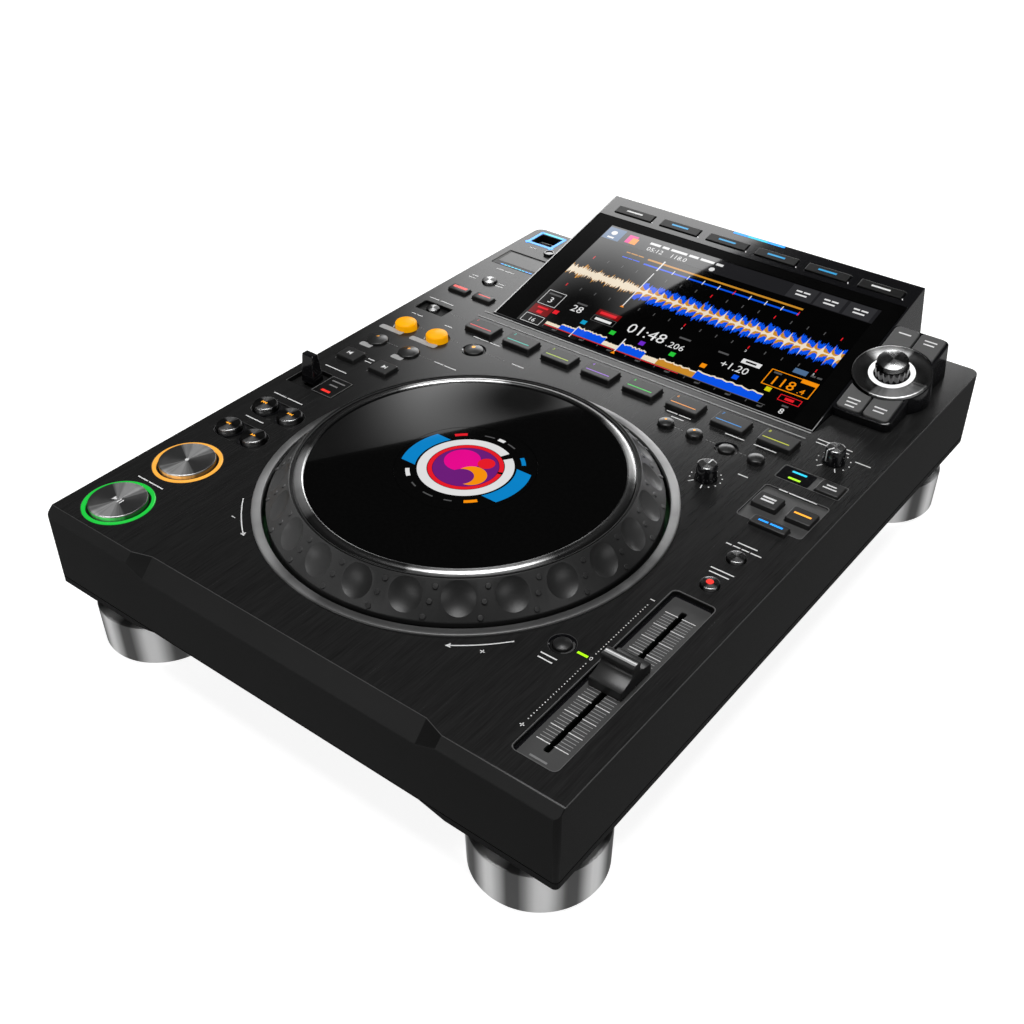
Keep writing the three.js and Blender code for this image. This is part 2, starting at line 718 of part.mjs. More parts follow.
// Jog wheel: a dimpled skirt, a bright rim and a glossy dished top, turning on the case's boss
const jogBore = jogDisplayRadius + wheelClearance;
const jogGrooveInner = jogSlopeRadius - jogGrooveWidth;
const jogRimInner = jogGrooveInner - jogRimWidth;
const jogSection = [
  [jogStemRadius + wheelClearance, jogWebTop - jogWebThickness],
  [jogSlopeRadius - jogWall, jogWebTop - jogWebThickness],
  [jogSkirtRadius - jogWall, jogSkirtTop - jogWall],
  [jogSkirtRadius - jogWall, -jogSkirtDrop],
  [jogSkirtRadius, -jogSkirtDrop],
  [jogSkirtRadius, jogSkirtTop],
  [jogSlopeRadius, jogSlopeTop],
  [jogSlopeRadius, jogSlopeTop - jogGrooveDepth],
  [jogGrooveInner, jogSlopeTop - jogGrooveDepth],
  [jogGrooveInner, jogTop],
  [jogRimInner, jogTop],
  [jogBore, jogTop - jogDishDrop],
  [jogBore, jogWebTop],
  [jogStemRadius + wheelClearance, jogWebTop],
  [jogStemRadius + wheelClearance, jogWebTop - jogWebThickness],
];

// One finger dimple, set square on the skirt's slope
function dimpleCutter(turn) {
  const run = jogSkirtRadius - jogSlopeRadius;
  const rise = jogSlopeTop - jogSkirtTop;
  const lean = Math.atan2(run, rise);
  const section = [
    [0, -dimpleDepth],
    [dimpleRadius * dimpleShoulderShare, -dimpleDepth * dimpleShoulderDepthShare],
    [dimpleRadius, 0],
    [dimpleRadius, overrun],
    [0, overrun],
  ];
  const cutter = turned(section, smallSegments);
  cutter.rotateY(Math.PI / 2 - lean);
  cutter.translate(jogSlopeRadius + run / 2, 0, jogSkirtTop + rise / 2);
  return cutter.rotateZ(turn);
}

function jogWheel() {
  let wheel = solid(turned(jogSection, largeSegments));
  for (let i = 0; i < dimpleCount; i += 1) {
    wheel = wheel.subtract(solid(dimpleCutter(((i + 0.5) / dimpleCount) * 2 * Math.PI)));
  }
  return wheel;
}

const wheel = finished("jog_wheel", jogWheel(), "jogBlack");
wheel.position.set(...jogCentre, deckHeight);
player.add(wheel);

const displaySection = [
  [0, jogWebTop - jogWebThickness - clearance],
  [jogStemRadius, jogWebTop - jogWebThickness - clearance],
  [jogStemRadius, jogWebTop + clearance],
  [jogDisplayRadius, jogWebTop + clearance],
  [jogDisplayRadius, jogTop - jogDishDrop],
  [0, jogTop - jogDishDrop],
];
const jogDisplay = finished("jog_display", solid(turned(displaySection, mediumSegments)), "glass");
jogDisplay.position.set(...jogCentre, deckHeight);
player.add(jogDisplay);

const ringSection = [
  [jogRingInnerRadius, 0],
  [jogRingRadius, 0],
  [jogRingRadius, jogRingHeight - jogRingEdge],
  [jogRingRadius - jogRingEdge, jogRingHeight],
  [jogRingInnerRadius, jogRingHeight],
  [jogRingInnerRadius, 0],
];
const jogRing = finished("jog_trim_ring", solid(turned(ringSection, largeSegments)), "silver");
jogRing.position.set(...jogCentre, deckHeight);
player.add(jogRing);

// Tempo slider: a waisted cap with a flat ridge, and a stem through the tray's slot
function tempoSlider() {
  const cap = sliderCap;
  const low = clearance - sliderTray.sink;
  const half = cap.length / 2;
  const section = [
    [-half, low],
    [half, low],
    [half, cap.lipHeight],
    [half - cap.lip, cap.lipHeight],
    [cap.ridge / 2 + cap.waist / 2, cap.height - cap.waist],
    [cap.ridge / 2, cap.height],
    [-cap.ridge / 2, cap.height],
    [-cap.ridge / 2 - cap.waist / 2, cap.height - cap.waist],
    [cap.lip - half, cap.lipHeight],
    [-half, cap.lipHeight],
  ];
  const [x, y] = [sliderStem.width / 2, sliderStem.length / 2];
  const stem = box([-x, -y, -sliderStem.drop], [x, y, 0]);
  return solid(alongX(section, cap.width)).add(stem);
}
const slider = finished("tempo_slider", tempoSlider(), "keyBlack");
slider.position.set(...deckPoint(sliderPlaceShares), deckHeight);
player.add(slider);

// Direction lever: a tapered paddle on a stem that rocks about a pin under the panel
function directionLever() {
  const paddle = leverPaddle;
  const low = -leverWell.sink / 2;
  const corners = [];
  for (const side of [-1, 1]) {
    for (const end of [-1, 1]) {
      corners.push(new THREE.Vector3(side * paddle.width / 2, end * paddle.thickness / 2, low));
      corners.push(
        new THREE.Vector3(side * paddle.topWidth / 2, end * paddle.topThickness / 2, paddle.height),
      );
    }
  }
  const [x, y] = [leverStem.width / 2, leverStem.thickness / 2];
  const stem = box([-x, -y, -leverPivotDrop], [x, y, 0]);
  const pinLength = leverStem.width + 2 * (clearance + leverEar.thickness);
  const pin = new THREE.CylinderGeometry(leverPinRadius, leverPinRadius, pinLength, smallSegments);
  pin.rotateZ(Math.PI / 2).translate(0, 0, -leverPivotDrop);
  return solid(new ConvexGeometry(corners)).add(stem).add(solid(pin));
}
const lever = finished("direction_lever", directionLever(), "keyBlack");
lever.position.set(...deckPoint(leverPlaceShares), deckHeight);
player.add(lever);

// Two small knobs with a skirt, on shafts through the panel
const knobSection = [
  [0, -trimKnob.drop],
  [trimKnob.shaft, -trimKnob.drop],
  [trimKnob.shaft, clearance],
  [trimKnob.radius, clearance],
  [trimKnob.radius, trimKnob.skirt],
  [trimKnob.topRadius, trimKnob.skirt],
  [trimKnob.topRadius, trimKnob.height - trimKnob.edge],
  [trimKnob.topRadius - trimKnob.edge, trimKnob.height],
  [0, trimKnob.height],
];
const knobPlaces = { jog_weight_knob: jogKnobPlaceShares, brake_speed_knob: brakeKnobPlaceShares };
for (const [name, placeShares] of Object.entries(knobPlaces)) {
  const knob = finished(name, solid(turned(knobSection, smallSegments)), "glossBlack");
  knob.position.set(...deckPoint(placeShares), deckHeight);
  player.add(knob);
}

// Card door: a flap that lies flush in its recess and lifts about the barrel at its back edge
const doorTop = -cardDoor.sink;
const barrelRadius = cardDoor.thickness / 2;
const barrelY = cardDoor.depth / 2 - barrelRadius;
const doorFlap = box(
  [-cardDoor.width / 2, -cardDoor.depth / 2, doorTop - cardDoor.thickness],
  [cardDoor.width / 2, barrelY, doorTop],
);
const doorBarrel = new THREE.CylinderGeometry(barrelRadius, barrelRadius, cardDoor.width, smallSegments);
doorBarrel.rotateZ(Math.PI / 2).translate(0, barrelY, doorTop - barrelRadius);
const door = finished("card_door", doorFlap.add(solid(doorBarrel)), "keyBlack");
door.position.set(...deckPoint(doorPlaceShares), deckHeight);
player.add(door);

// Screen housing, in the player's frame: a wedge that drops into the panel and over the back wall
function slopePoint(up, out) {
  return [
    screenFrontY + up * Math.cos(screenTilt) - out * Math.sin(screenTilt),
    deckHeight + screenLift + up * Math.sin(screenTilt) + out * Math.cos(screenTilt),
  ];
}

const glassSeat = glassThickness + clearance;
const housingTop = glassSeat + glassBed;
const overhangY = rearY + clearance;
const rearLow = slopePoint(screenLength, -screenRearHeight);

function screenWedge() {
  const outer = [
    [screenFrontY, sinkHeight],
    [overhangY, sinkHeight],
    [overhangY, rearLow[1]],
    rearLow,
    slopePoint(screenLength, 0),
    slopePoint(0, 0),
  ];
  const wall = housingWall;
  const shelfY = rearY - caseWall - wall;
  const inner = [
    [screenFrontY + wall, sinkHeight - overrun],
    [shelfY, sinkHeight - overrun],
    [shelfY, sinkHeight + wall],
    [overhangY + wall, sinkHeight + wall],
    [overhangY + wall, rearLow[1] + wall],
    [slopePoint(screenLength - wall, wall - screenRearHeight)[0], rearLow[1] + wall],
    slopePoint(screenLength - wall, -housingTop),
    slopePoint(wall, -housingTop),
  ];
  const wedge = solid(alongX(outer, screenWidth).translate(screenOffset, 0, 0));
  return wedge.subtract(solid(alongX(inner, screenWidth - 2 * wall).translate(screenOffset, 0, 0)));
}

// Places a geometry made in the screen's plane into the player's frame
function onSlope(geometry) {
  return geometry.rotateX(screenTilt).translate(screenOffset, screenFrontY, deckHeight + screenLift);
}

// The block beside the screen: a rectangle with a round middle, seen square on
function blockPlan(inset, low, high) {
  const block = selectorBlock;
  const left = screenWidth / 2 - housingWall + inset;
  const right = screenWidth / 2 + block.outward - inset;
  const rectangle = raised(
    roundedRectangle(right - left, block.back - block.front - 2 * inset, block.corner),
    low,
    high,
    keyCornerSegments,
  );
  rectangle.translate((right + left) / 2, (block.front + block.back) / 2, 0);
  const round = cylinder(selector.blockRadius - inset, low, high, largeSegments);
  round.translate(selectorAcross, selector.up, 0);
  return solid(onSlope(rectangle)).add(solid(onSlope(round)));
}

// Each key beside the screen is a rectangle whose inner corner follows the ring
function selectorKeyPlan(side, end, grow) {
  const key = selectorKey;
  const width = key.width + 2 * grow;
  const ownLength = (key.back - key.front - key.gap) / 2;
  const x = selectorAcross + side * (key.width + key.gap) / 2;
  const y = (key.front + key.back) / 2 + end * (ownLength + key.gap) / 2;
  return { width, length: ownLength + 2 * grow, x, y, notch: selector.radius + key.gap - grow };
}

function selectorKeyHole(side, end) {
  const plan = selectorKeyPlan(side, end, clearance);
  const depth = housingTop + overrun;
  const outline = roundedRectangle(plan.width, plan.length, selectorKey.corner);
  const rectangle = onSlope(raised(outline, -depth, overrun, keyCornerSegments).translate(plan.x, plan.y, 0));
  const round = cylinder(plan.notch, -depth - overrun, 2 * overrun, largeSegments);
  return solid(rectangle).subtract(solid(onSlope(round.translate(selectorAcross, selector.up, 0))));
}

const keyCorners = {
  selector_key_front_left: [-1, -1],
  selector_key_front_right: [1, -1],
  selector_key_rear_left: [-1, 1],
  selector_key_rear_right: [1, 1],
};

function keyStripPlaces() {
  const places = [];
  for (let i = 0; i < keyStrip.count; i += 1) {
    places.push([keyStrip.offset + (i - (keyStrip.count - 1) / 2) * stripPitch, stripUp]);
  }
  return places;
}

function screenHousing() {
  const reach = screenRearHeight;
  const deckTop = box([-bodyWidth, frontY, 0], [bodyWidth, frontY + overallDepth, deckHeight + clearance]);
  const block = blockPlan(0, -reach, 0).subtract(deckTop);
  const inside = blockPlan(housingWall, -reach, -housingTop);
  let housing = screenWedge().add(block).subtract(inside);
  const bed = box(
    [housingRim - screenWidth / 2, housingRim, -glassSeat],
    [screenWidth / 2 - housingRim, glassLength + housingRim + clearance, overrun],
  );
  housing = housing.subtract(solid(onSlope(geometryOf(bed))));
  for (const place of keyStripPlaces()) {
    const outline = roundedRectangle(
      stripKey.width + 2 * clearance,
      stripKey.depth + 2 * clearance,
      stripKey.corner + clearance,
    );
    const hole = raised(outline, -housingTop - overrun, overrun, keyCornerSegments);
    housing = housing.subtract(solid(onSlope(moved(hole, place))));
  }
  for (const [side, end] of Object.values(keyCorners)) {
    housing = housing.subtract(selectorKeyHole(side, end));
  }
  const shaft = cylinder(selectorKnob.shaft + clearance, -housingTop - overrun, overrun, smallSegments);
  return housing.subtract(solid(onSlope(shaft.translate(selectorAcross, selector.up, 0))));
}
player.add(finished("screen_housing", screenHousing(), "caseBlack"));

const glassX = screenWidth / 2 - housingRim - clearance;
const glass = box(
  [-glassX, housingRim + clearance, -glassThickness],
  [glassX, housingRim + glassLength, 0],
);
screenGroup.add(finished("screen_glass", glass, "glass"));

// The six keys over the screen are one moulding: caps on a thin strip that flexes under each
function screenKeyStrip() {
  const top = -housingTop - clearance;
  const halfLength = ((keyStrip.count - 1) * stripPitch + stripKey.width) / 2;
  let strip = box(
    [keyStrip.offset - halfLength, stripUp - keyStrip.baseDepth / 2, top - keyStrip.base],
    [keyStrip.offset + halfLength, stripUp + keyStrip.baseDepth / 2, top],
  );
  for (const place of keyStripPlaces()) {
    const outline = roundedRectangle(stripKey.width, stripKey.depth, stripKey.corner);
    const cap = bevelledBlock(outline, top - keyStrip.base / 2, stripKey.height, stripKey.edge);
    strip = strip.add(solid(moved(cap, place)));
  }
  return strip;
}
screenGroup.add(finished("screen_key_strip", screenKeyStrip(), "keyBlack"));

function selectorKeyBody(side, end) {
  const plan = selectorKeyPlan(side, end, 0);
  const flangeTop = -housingTop - clearance;
  const outline = roundedRectangle(plan.width, plan.length, selectorKey.corner);
  const low = flangeTop - flangeThickness / 2;
  const cap = bevelledBlock(outline, low, selectorKey.height, selectorKey.edge);
  const round = cylinder(plan.notch, low - overrun, overrun + selectorKey.height, largeSegments);
  return solid(cap.translate(plan.x, plan.y, 0))
    .subtract(solid(round.translate(selectorAcross, selector.up, 0)));
}
for (const [name, [side, end]] of Object.entries(keyCorners)) {
  screenGroup.add(finished(name, selectorKeyBody(side, end), "keyBlack"));
}

// Ring round the selector knob: a dished disc that carries the light ring
const selectorRingSection = [
  [selectorRing.inner, clearance],
  [selector.radius, clearance],
  [selector.radius, selectorRing.height - selectorRing.edge],
  [selector.radius - selectorRing.edge, selectorRing.height],
  [selectorRing.inner, selectorRing.height - selectorRing.dish],
  [selectorRing.inner, clearance],
];
const dial = finished("selector_ring", solid(turned(selectorRingSection, largeSegments)), "glossBlack");
dial.position.set(selectorAcross, selector.up, 0);
screenGroup.add(dial);

// Selector knob: a fluted cap on a shaft
function knobOutline(radius) {
  const shape = new THREE.Shape();
  const steps = 2 * selectorKnob.flutes;
  for (let i = 0; i < steps; i += 1) {
    const reach = i % 2 === 0 ? radius : radius - selectorKnob.flute;
    const turn = (i / steps) * 2 * Math.PI;
    const [x, y] = [reach * Math.cos(turn), reach * Math.sin(turn)];
    if (i === 0) {
      shape.moveTo(x, y);
    } else {
      shape.lineTo(x, y);
    }
  }
  return shape;
}
const knobCap = bevelledBlock(
  knobOutline(selectorKnob.radius),
  2 * clearance,
  selectorKnob.height,
  selectorKnob.edge,
);
const knobShaft = cylinder(selectorKnob.shaft, -selectorKnob.drop, selectorKnob.height / 2, smallSegments);
const selectorTop = finished("selector_knob", solid(knobCap).add(solid(knobShaft)), "glossBlack");
selectorTop.position.set(selectorAcross, selector.up, 0);
screenGroup.add(selectorTop);

export default player;
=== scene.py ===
import bmesh
import bpy
import math
import random
from mathutils import Matrix, Vector


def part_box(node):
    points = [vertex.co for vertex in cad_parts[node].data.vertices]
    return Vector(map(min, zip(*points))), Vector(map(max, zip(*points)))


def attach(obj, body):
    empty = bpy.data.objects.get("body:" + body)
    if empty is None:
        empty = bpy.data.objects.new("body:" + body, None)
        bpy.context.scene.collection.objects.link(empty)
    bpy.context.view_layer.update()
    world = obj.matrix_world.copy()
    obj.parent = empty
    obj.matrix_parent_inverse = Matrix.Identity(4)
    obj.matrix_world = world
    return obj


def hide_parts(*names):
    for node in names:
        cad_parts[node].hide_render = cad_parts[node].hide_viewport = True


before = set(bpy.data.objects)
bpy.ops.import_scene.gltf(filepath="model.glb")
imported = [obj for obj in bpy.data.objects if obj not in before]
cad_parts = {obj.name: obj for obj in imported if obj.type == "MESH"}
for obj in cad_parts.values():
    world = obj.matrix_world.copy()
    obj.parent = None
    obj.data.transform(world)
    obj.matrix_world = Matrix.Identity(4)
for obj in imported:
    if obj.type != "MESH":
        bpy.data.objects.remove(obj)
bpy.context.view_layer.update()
scene = bpy.context.scene
metre = 1000

# Camera: a three-quarter view from the front right, looking down on the deck.
# Its place is in metres in the player's own frame, and it looks along the line that the
# photograph was taken on, with the photograph's field of view.
camera = bpy.data.objects.new("camera", bpy.data.cameras.new("camera"))
camera.data.lens = 45.84
camera.data.sensor_width = 36
camera.data.clip_start = 0.05
camera_right = Vector((0.7889704, 0.6144131, -0.0047189))
camera_up = Vector((-0.3671969, 0.4776490, 0.7981340))
camera_back = Vector((0.4926380, -0.6279713, 0.6024615))
camera.matrix_world = Matrix((camera_right, camera_up, camera_back)).transposed().to_4x4()
camera.matrix_world.translation = (0.357965, -0.501240, 0.487620)
scene.collection.objects.link(camera)
scene.camera = camera


# Studio: a white floor before a white backdrop, a wide soft box overhead and two smaller ones in front.
# A low light panel past the rear left corner gives the deck and the glass their fading sheen.
# The world is bright only below the horizon, so that metal mirrors a pale ground.
scene.view_settings.view_transform = "Standard"


class Signal:
    """A value that changes over a surface. Sums and products on it become Math nodes."""

    def __init__(self, finish, socket):
        self.finish = finish
        self.socket = socket

    def combined(self, operation, other=None, swapped=False):
        values = [self] if other is None else [other, self] if swapped else [self, other]
        return self.finish.node("Math", {"operation": operation}, dict(enumerate(values)))

    def __add__(self, other):
        return self.combined("ADD", other)

    def __sub__(self, other):
        return self.combined("SUBTRACT", other)

    def __rsub__(self, other):
        return self.combined("SUBTRACT", other, swapped=True)

    def __mul__(self, other):
        return self.combined("MULTIPLY", other)

    def __gt__(self, other):
        return self.combined("GREATER_THAN", other)

    __radd__ = __add__
    __rmul__ = __mul__


class Finish:
    """A material being mixed: its shader, and methods that add other nodes."""

    def __init__(self, name, **constants):
        self.material = bpy.data.materials.new(name)
        self.material.use_nodes = True
        self.tree = self.material.node_tree
        self.shader = self.tree.nodes["Principled BSDF"]
        self.place = self.node("TexCoord", output="Object")
        self.set(**constants)

    def set(self, **values):
        self.feed(self.shader, {name.replace("_", " "): value for name, value in values.items()})

    def feed(self, node, values):
        for name, value in values.items():
            if isinstance(value, Signal):
                self.tree.links.new(value.socket, node.inputs[name])
            else:
                node.inputs[name].default_value = value

    def node(self, kind, settings=None, values=None, output=0):
        node = self.tree.nodes.new("ShaderNode" + kind)
        for name, value in (settings or {}).items():
            setattr(node, name, value)
        self.feed(node, values or {})
        return Signal(self, node.outputs[output])

    def mixed(self, share, first, second):
        values = {0: share, 6: first, 7: second}
        return self.node("Mix", {"data_type": "RGBA"}, values, output=2)

    def noise(self, scale, detail=2.0, place=None):
        """Noise from 0 to 1, in spots a metre: one number, or one along each axis"""
        spots = scale if isinstance(scale, tuple) else (scale, scale, scale)
        spread = self.node("VectorMath", {"operation": "MULTIPLY"}, {0: place or self.place, 1: spots})
        return self.node("TexNoise", {}, {"Vector": spread, "Scale": 1, "Detail": detail})

    def bump(self, height, distance, strength):
        values = {"Height": height, "Distance": distance, "Strength": strength}
        self.set(Normal=self.node("Bump", {}, values))

    def rise(self, value, low, high):
        """Goes smoothly from 0 to 1 as a value goes from low to high"""
        span = {"Value": value, "From Min": low, "From Max": high}
        return self.node("MapRange", {"interpolation_type": "SMOOTHSTEP"}, span)

    def fans(self, centre, axis, lobes=1, dark=0.5, flicker=1.8):
        """Painted highlight for lathe-turned metal: fans of sheen round its middle, from 0 to 1, for its
        colour
        """
        flat = {0: self.place, 1: (metre, metre, 0), 2: (-centre[0], -centre[1], 0)}
        out = self.node("VectorMath", {"operation": "MULTIPLY_ADD"}, flat)
        ray = self.node("VectorMath", {"operation": "NORMALIZE"}, {0: out})
        turn = math.radians(axis)
        facing = (math.cos(turn), math.sin(turn), 0)
        along = self.node("VectorMath", {"operation": "DOT_PRODUCT"}, {0: ray, 1: facing}, output=1)
        share = along * along
        for doubling in range(lobes - 1):
            share = 4 * (share - 0.5) * (share - 0.5)
        specks = self.noise(3, 3, ray)
        light = (share - dark) * (1 / (1 - dark)) + (specks - 0.5) * flicker
        return self.node("Math", {"operation": "MULTIPLY", "use_clamp": True}, {0: light, 1: 1.0})

    def part(self, axis):
        """One of the place's three numbers, in millimetres"""
        return self.node("SeparateXYZ", {}, {0: self.place}, output=axis) * metre


def grey(value):
    return (value, value, value, 1)


def cloudy(name, spots, low, high, **constants):
    """A plain finish whose grey wavers between two values"""
    finish = Finish(name, **constants)
    finish.set(Base_Color=finish.mixed(finish.noise(spots), grey(low), grey(high)))
    return finish


def tint(tone, share=1):
    """A colour from one grey, or from its red, green and blue, times a share"""
    levels = tone if isinstance(tone, tuple) else (tone, tone, tone)
    return (*[level * share for level in levels], 1)


def linked(name, shape):
    """An object made of a finished shape"""
    mesh = bpy.data.meshes.new(name)
    shape.to_mesh(mesh)
    shape.free()
    thing = bpy.data.objects.new(name, mesh)
    scene.collection.objects.link(thing)
    return thing


floor_shape = bmesh.new()
bmesh.ops.create_grid(floor_shape, x_segments=2, y_segments=2, size=2.2)
floor = linked("floor", floor_shape)
paper = Finish("floor_paper", Roughness=0.95, Specular_IOR_Level=0.1, Base_Color=grey(0.5))
paper.set(Emission_Color=grey(1), Emission_Strength=0.88)
floor.data.materials.append(paper.material)
floor.visible_glossy = False
wall_shape = bmesh.new()
bmesh.ops.create_uvsphere(wall_shape, u_segments=48, v_segments=24, radius=9)
backdrop = linked("backdrop", wall_shape)
white_wall = Finish("backdrop_white", Base_Color=grey(0), Emission_Color=grey(1), Emission_Strength=1)
backdrop.data.materials.append(white_wall.material)
backdrop.visible_diffuse = False
backdrop.visible_glossy = False
backdrop.visible_shadow = False

below_strength, above_strength = 5, 0.02
room = bpy.data.worlds.new("room")
room.use_nodes = True
sky = room.node_tree
sky_side = sky.nodes.new("ShaderNodeSeparateXYZ")
sky_below = sky.nodes.new("ShaderNodeMath")
sky_below.operation = "LESS_THAN"
sky_below.inputs[1].default_value = 0
sky_light = sky.nodes.new("ShaderNodeMath")
sky_light.operation = "MULTIPLY_ADD"
sky_light.inputs[1].default_value = below_strength
sky_light.inputs[2].default_value = above_strength
sky.links.new(sky.nodes.new("ShaderNodeTexCoord").outputs["Generated"], sky_side.inputs[0])
sky.links.new(sky_side.outputs["Z"], sky_below.inputs[0])
sky.links.new(sky_below.outputs[0], sky_light.inputs[0])
sky.links.new(sky_light.outputs[0], sky.nodes["Background"].inputs["Strength"])
scene.world = room


def soft_box(name, place, aim, width, height, power):
    """A rectangular soft light at a place, turned to face the point that it lights"""
    light = bpy.data.lights.new(name, "AREA")
    light.shape = "RECTANGLE"
    light.size = width
    light.size_y = height
    light.energy = power
    lamp = bpy.data.objects.new(name, light)
    lamp.location = place
    lamp.rotation_euler = (Vector(aim) - Vector(place)).to_track_quat("-Z", "Y").to_euler()
    scene.collection.objects.link(lamp)


soft_box("overhead_box", (0, 0, 5), (0, 0, 0), 3, 3, 220)
soft_box("front_box", (-0.4, -2.0, 0.9), (0, 0, 0.05), 1.2, 0.5, 6)
soft_box("right_box", (1.9, -0.3, 0.8), (0, 0, 0.05), 1.2, 0.5, 6)
panel_along = Vector((0.519, 0.855, 0))
panel_out = Vector((-0.855, 0.519, 0))
panel_shape = bmesh.new()
bmesh.ops.create_grid(panel_shape, x_segments=1, y_segments=1, size=0.5)
bmesh.ops.translate(panel_shape, vec=(0, 0.5, 0), verts=panel_shape.verts)
bmesh.ops.scale(panel_shape, vec=(2.2, 1.1, 1), verts=panel_shape.verts)
panel_place = Matrix((panel_along, panel_out, (0, 0, 1))).transposed().to_4x4()
panel_place.translation = (-0.1585, 0.2163, 0.28)
panel_shape.transform(panel_place)
light_panel = linked("light_panel", panel_shape)
light_panel.visible_camera = False
light_panel.visible_shadow = False
light_panel.visible_diffuse = False
glow = Finish("panel_glow", Base_Color=grey(0.02), Emission_Strength=4.3)
glow_rise = glow.rise(glow.part("Y"), 40, 430)
glow_slant = glow.rise(0.837 * glow.part("X") + 0.55 * glow.part("Y"), -195, -115)
dip_ends = {0: glow.place, 1: (-0.19, 0.212, 0.28)}
dip_reach = glow.node("VectorMath", {"operation": "DISTANCE"}, dip_ends, output=1)
glow_dip = glow.rise(dip_reach, 0.012, 0.1)
glow.set(Emission_Color=glow.mixed(glow_rise * glow_slant * glow_dip, grey(0.003), grey(1)))
light_panel.data.materials.append(glow.material)


# Upper case: the deck and its four walls, one moulded and painted shell, open below.
# The deck carries fine streaks from front to back; the front edge is bevelled, deeper in the
# middle, and every hole for a control has a small chamfer.
mm = 1 / metre
sharp_angle = math.radians(32)
broad_face = 0.0001
thin = 0.3
eased = 0.4
deck = 85
deck_thickness = 5
case_wall = 3
front_wall = 7
seam_height = 41.2
half_width = 164.5
front_corner = 2.5
rear_corner = 6
front_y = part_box("upper_case")[0].y * metre
rear_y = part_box("upper_case")[1].y * metre
hole_low = deck - 20
over = 3
tray_depth = 2.8
lever_well = 3
plate_depth = 0.8
well_recess = 1
ring_recess = 1.2
right_trays = 110


def middle(node):
    """The middle of a node's box across and back, in millimetres"""
    low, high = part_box(node)
    return (low.x + high.x) / 2 * metre, (low.y + high.y) / 2 * metre


def block(low, high):
    """A box between two corners"""
    shape = bmesh.new()
    bmesh.ops.create_cube(shape, size=1)
    bmesh.ops.scale(shape, vec=[b - a for a, b in zip(low, high)], verts=shape.verts)
    bmesh.ops.translate(shape, vec=[(a + b) / 2 for a, b in zip(low, high)], verts=shape.verts)
    return shape


def rounded(shape, edges, size, segments=3):
    bmesh.ops.bevel(
        shape, geom=edges, offset=size, segments=segments, profile=0.5, affect="EDGES", material=-1,
    )
    return shape


def sharp_edges(shape, angle=0.3):
    return [e for e in shape.edges if len(e.link_faces) == 2 and e.calc_face_angle() > angle]


def upright_edges(shape):
    return [e for e in shape.edges if abs(e.verts[0].co.z - e.verts[1].co.z) > thin]


def points_of(geometry):
    return [part for part in geometry if isinstance(part, bmesh.types.BMVert)]


def turned(section, steps=64, closed=False):
    """A solid of revolution from its half section of (radius, height) points"""
    shape = bmesh.new()
    points = [shape.verts.new((radius, 0, height)) for radius, height in section]
    edges = [shape.edges.new(pair) for pair in zip(points, points[1:])]
    if closed:
        edges.append(shape.edges.new((points[-1], points[0])))
    bmesh.ops.spin(
        shape, geom=points + edges, cent=(0, 0, 0), axis=(0, 0, 1), angle=2 * math.pi,
        steps=steps, use_merge=True,
    )
    bmesh.ops.remove_doubles(shape, verts=shape.verts, dist=1e-4)
    return shape


def rounded_sheet(width, depth, corner, segments=4):
    """A flat rectangle with rounded corners"""
    shape = bmesh.new()
    bmesh.ops.create_grid(shape, x_segments=1, y_segments=1, size=0.5)
    bmesh.ops.scale(shape, vec=(width, depth, 1), verts=shape.verts)
    bmesh.ops.bevel(
        shape, geom=shape.verts[:], offset=corner, segments=segments, profile=0.5,
        affect="VERTICES", material=-1,
    )
    return shape


def stacked(width, depth, corner, levels, segments=4):
    """A rounded rectangle carried up through levels of (height, growth on every side)"""
    shape = rounded_sheet(width, depth, corner, segments)
    height, growth = levels[0]
    moved(shape, 0, 0, height)
    scale = [(side + 2 * growth) / side for side in (width, depth)]
    bmesh.ops.scale(shape, vec=(*scale, 1), verts=shape.verts)
    rim = shape.edges[:]
    for next_height, next_growth in levels[1:]:
        raised = bmesh.ops.extrude_edge_only(shape, edges=rim)["geom"]
        points = points_of(raised)
        rim = [part for part in raised if isinstance(part, bmesh.types.BMEdge)]
        rim = [edge for edge in rim if all(end in points for end in edge.verts)]
        scale = [(side + 2 * next_growth) / (side + 2 * growth) for side in (width, depth)]
        bmesh.ops.scale(shape, vec=(*scale, 1), verts=points)
        bmesh.ops.translate(shape, vec=(0, 0, next_height - height), verts=points)
        height, growth = next_height, next_growth
    bmesh.ops.holes_fill(shape, edges=rim)
    return shape


def moved(shape, x, y, z=0):
    bmesh.ops.translate(shape, vec=(x, y, z), verts=shape.verts)
    return shape


def rotated(shape, angle, axis):
    bmesh.ops.rotate(shape, cent=(0, 0, 0), matrix=Matrix.Rotation(angle, 3, axis), verts=shape.verts)
    return shape


def poured(shape, whole):
    """Adds a shape to another one and lets go of it"""
    mesh = bpy.data.meshes.new("part")
    shape.to_mesh(mesh)
    shape.free()
    whole.from_mesh(mesh)
    bpy.data.meshes.remove(mesh)


def joined(*shapes):
    """Several shapes as one"""
    whole = bmesh.new()
    for shape in shapes:
        poured(shape, whole)
    return whole


def hull(points):
    """The closed form stretched round a few points"""
    shape = bmesh.new()
    for point in points:
        shape.verts.new(point)
    bmesh.ops.convex_hull(shape, input=shape.verts)
    return shape


def as_object(name, shape):
    bmesh.ops.recalc_face_normals(shape, faces=shape.faces)
    return linked(name, shape)


def carved(shape, cutters, operation="DIFFERENCE"):
    """Cuts a solid by others that don't touch each other, or joins it with them"""
    target = as_object("target", shape)
    tool = as_object("tool", joined(*cutters))
    cut = target.modifiers.new("cut", "BOOLEAN")
    cut.object = tool
    cut.operation = operation
    cut.solver = "MANIFOLD"
    result = bmesh.new()
    result.from_object(target, bpy.context.evaluated_depsgraph_get())
    bpy.data.objects.remove(target)
    bpy.data.objects.remove(tool)
    return result


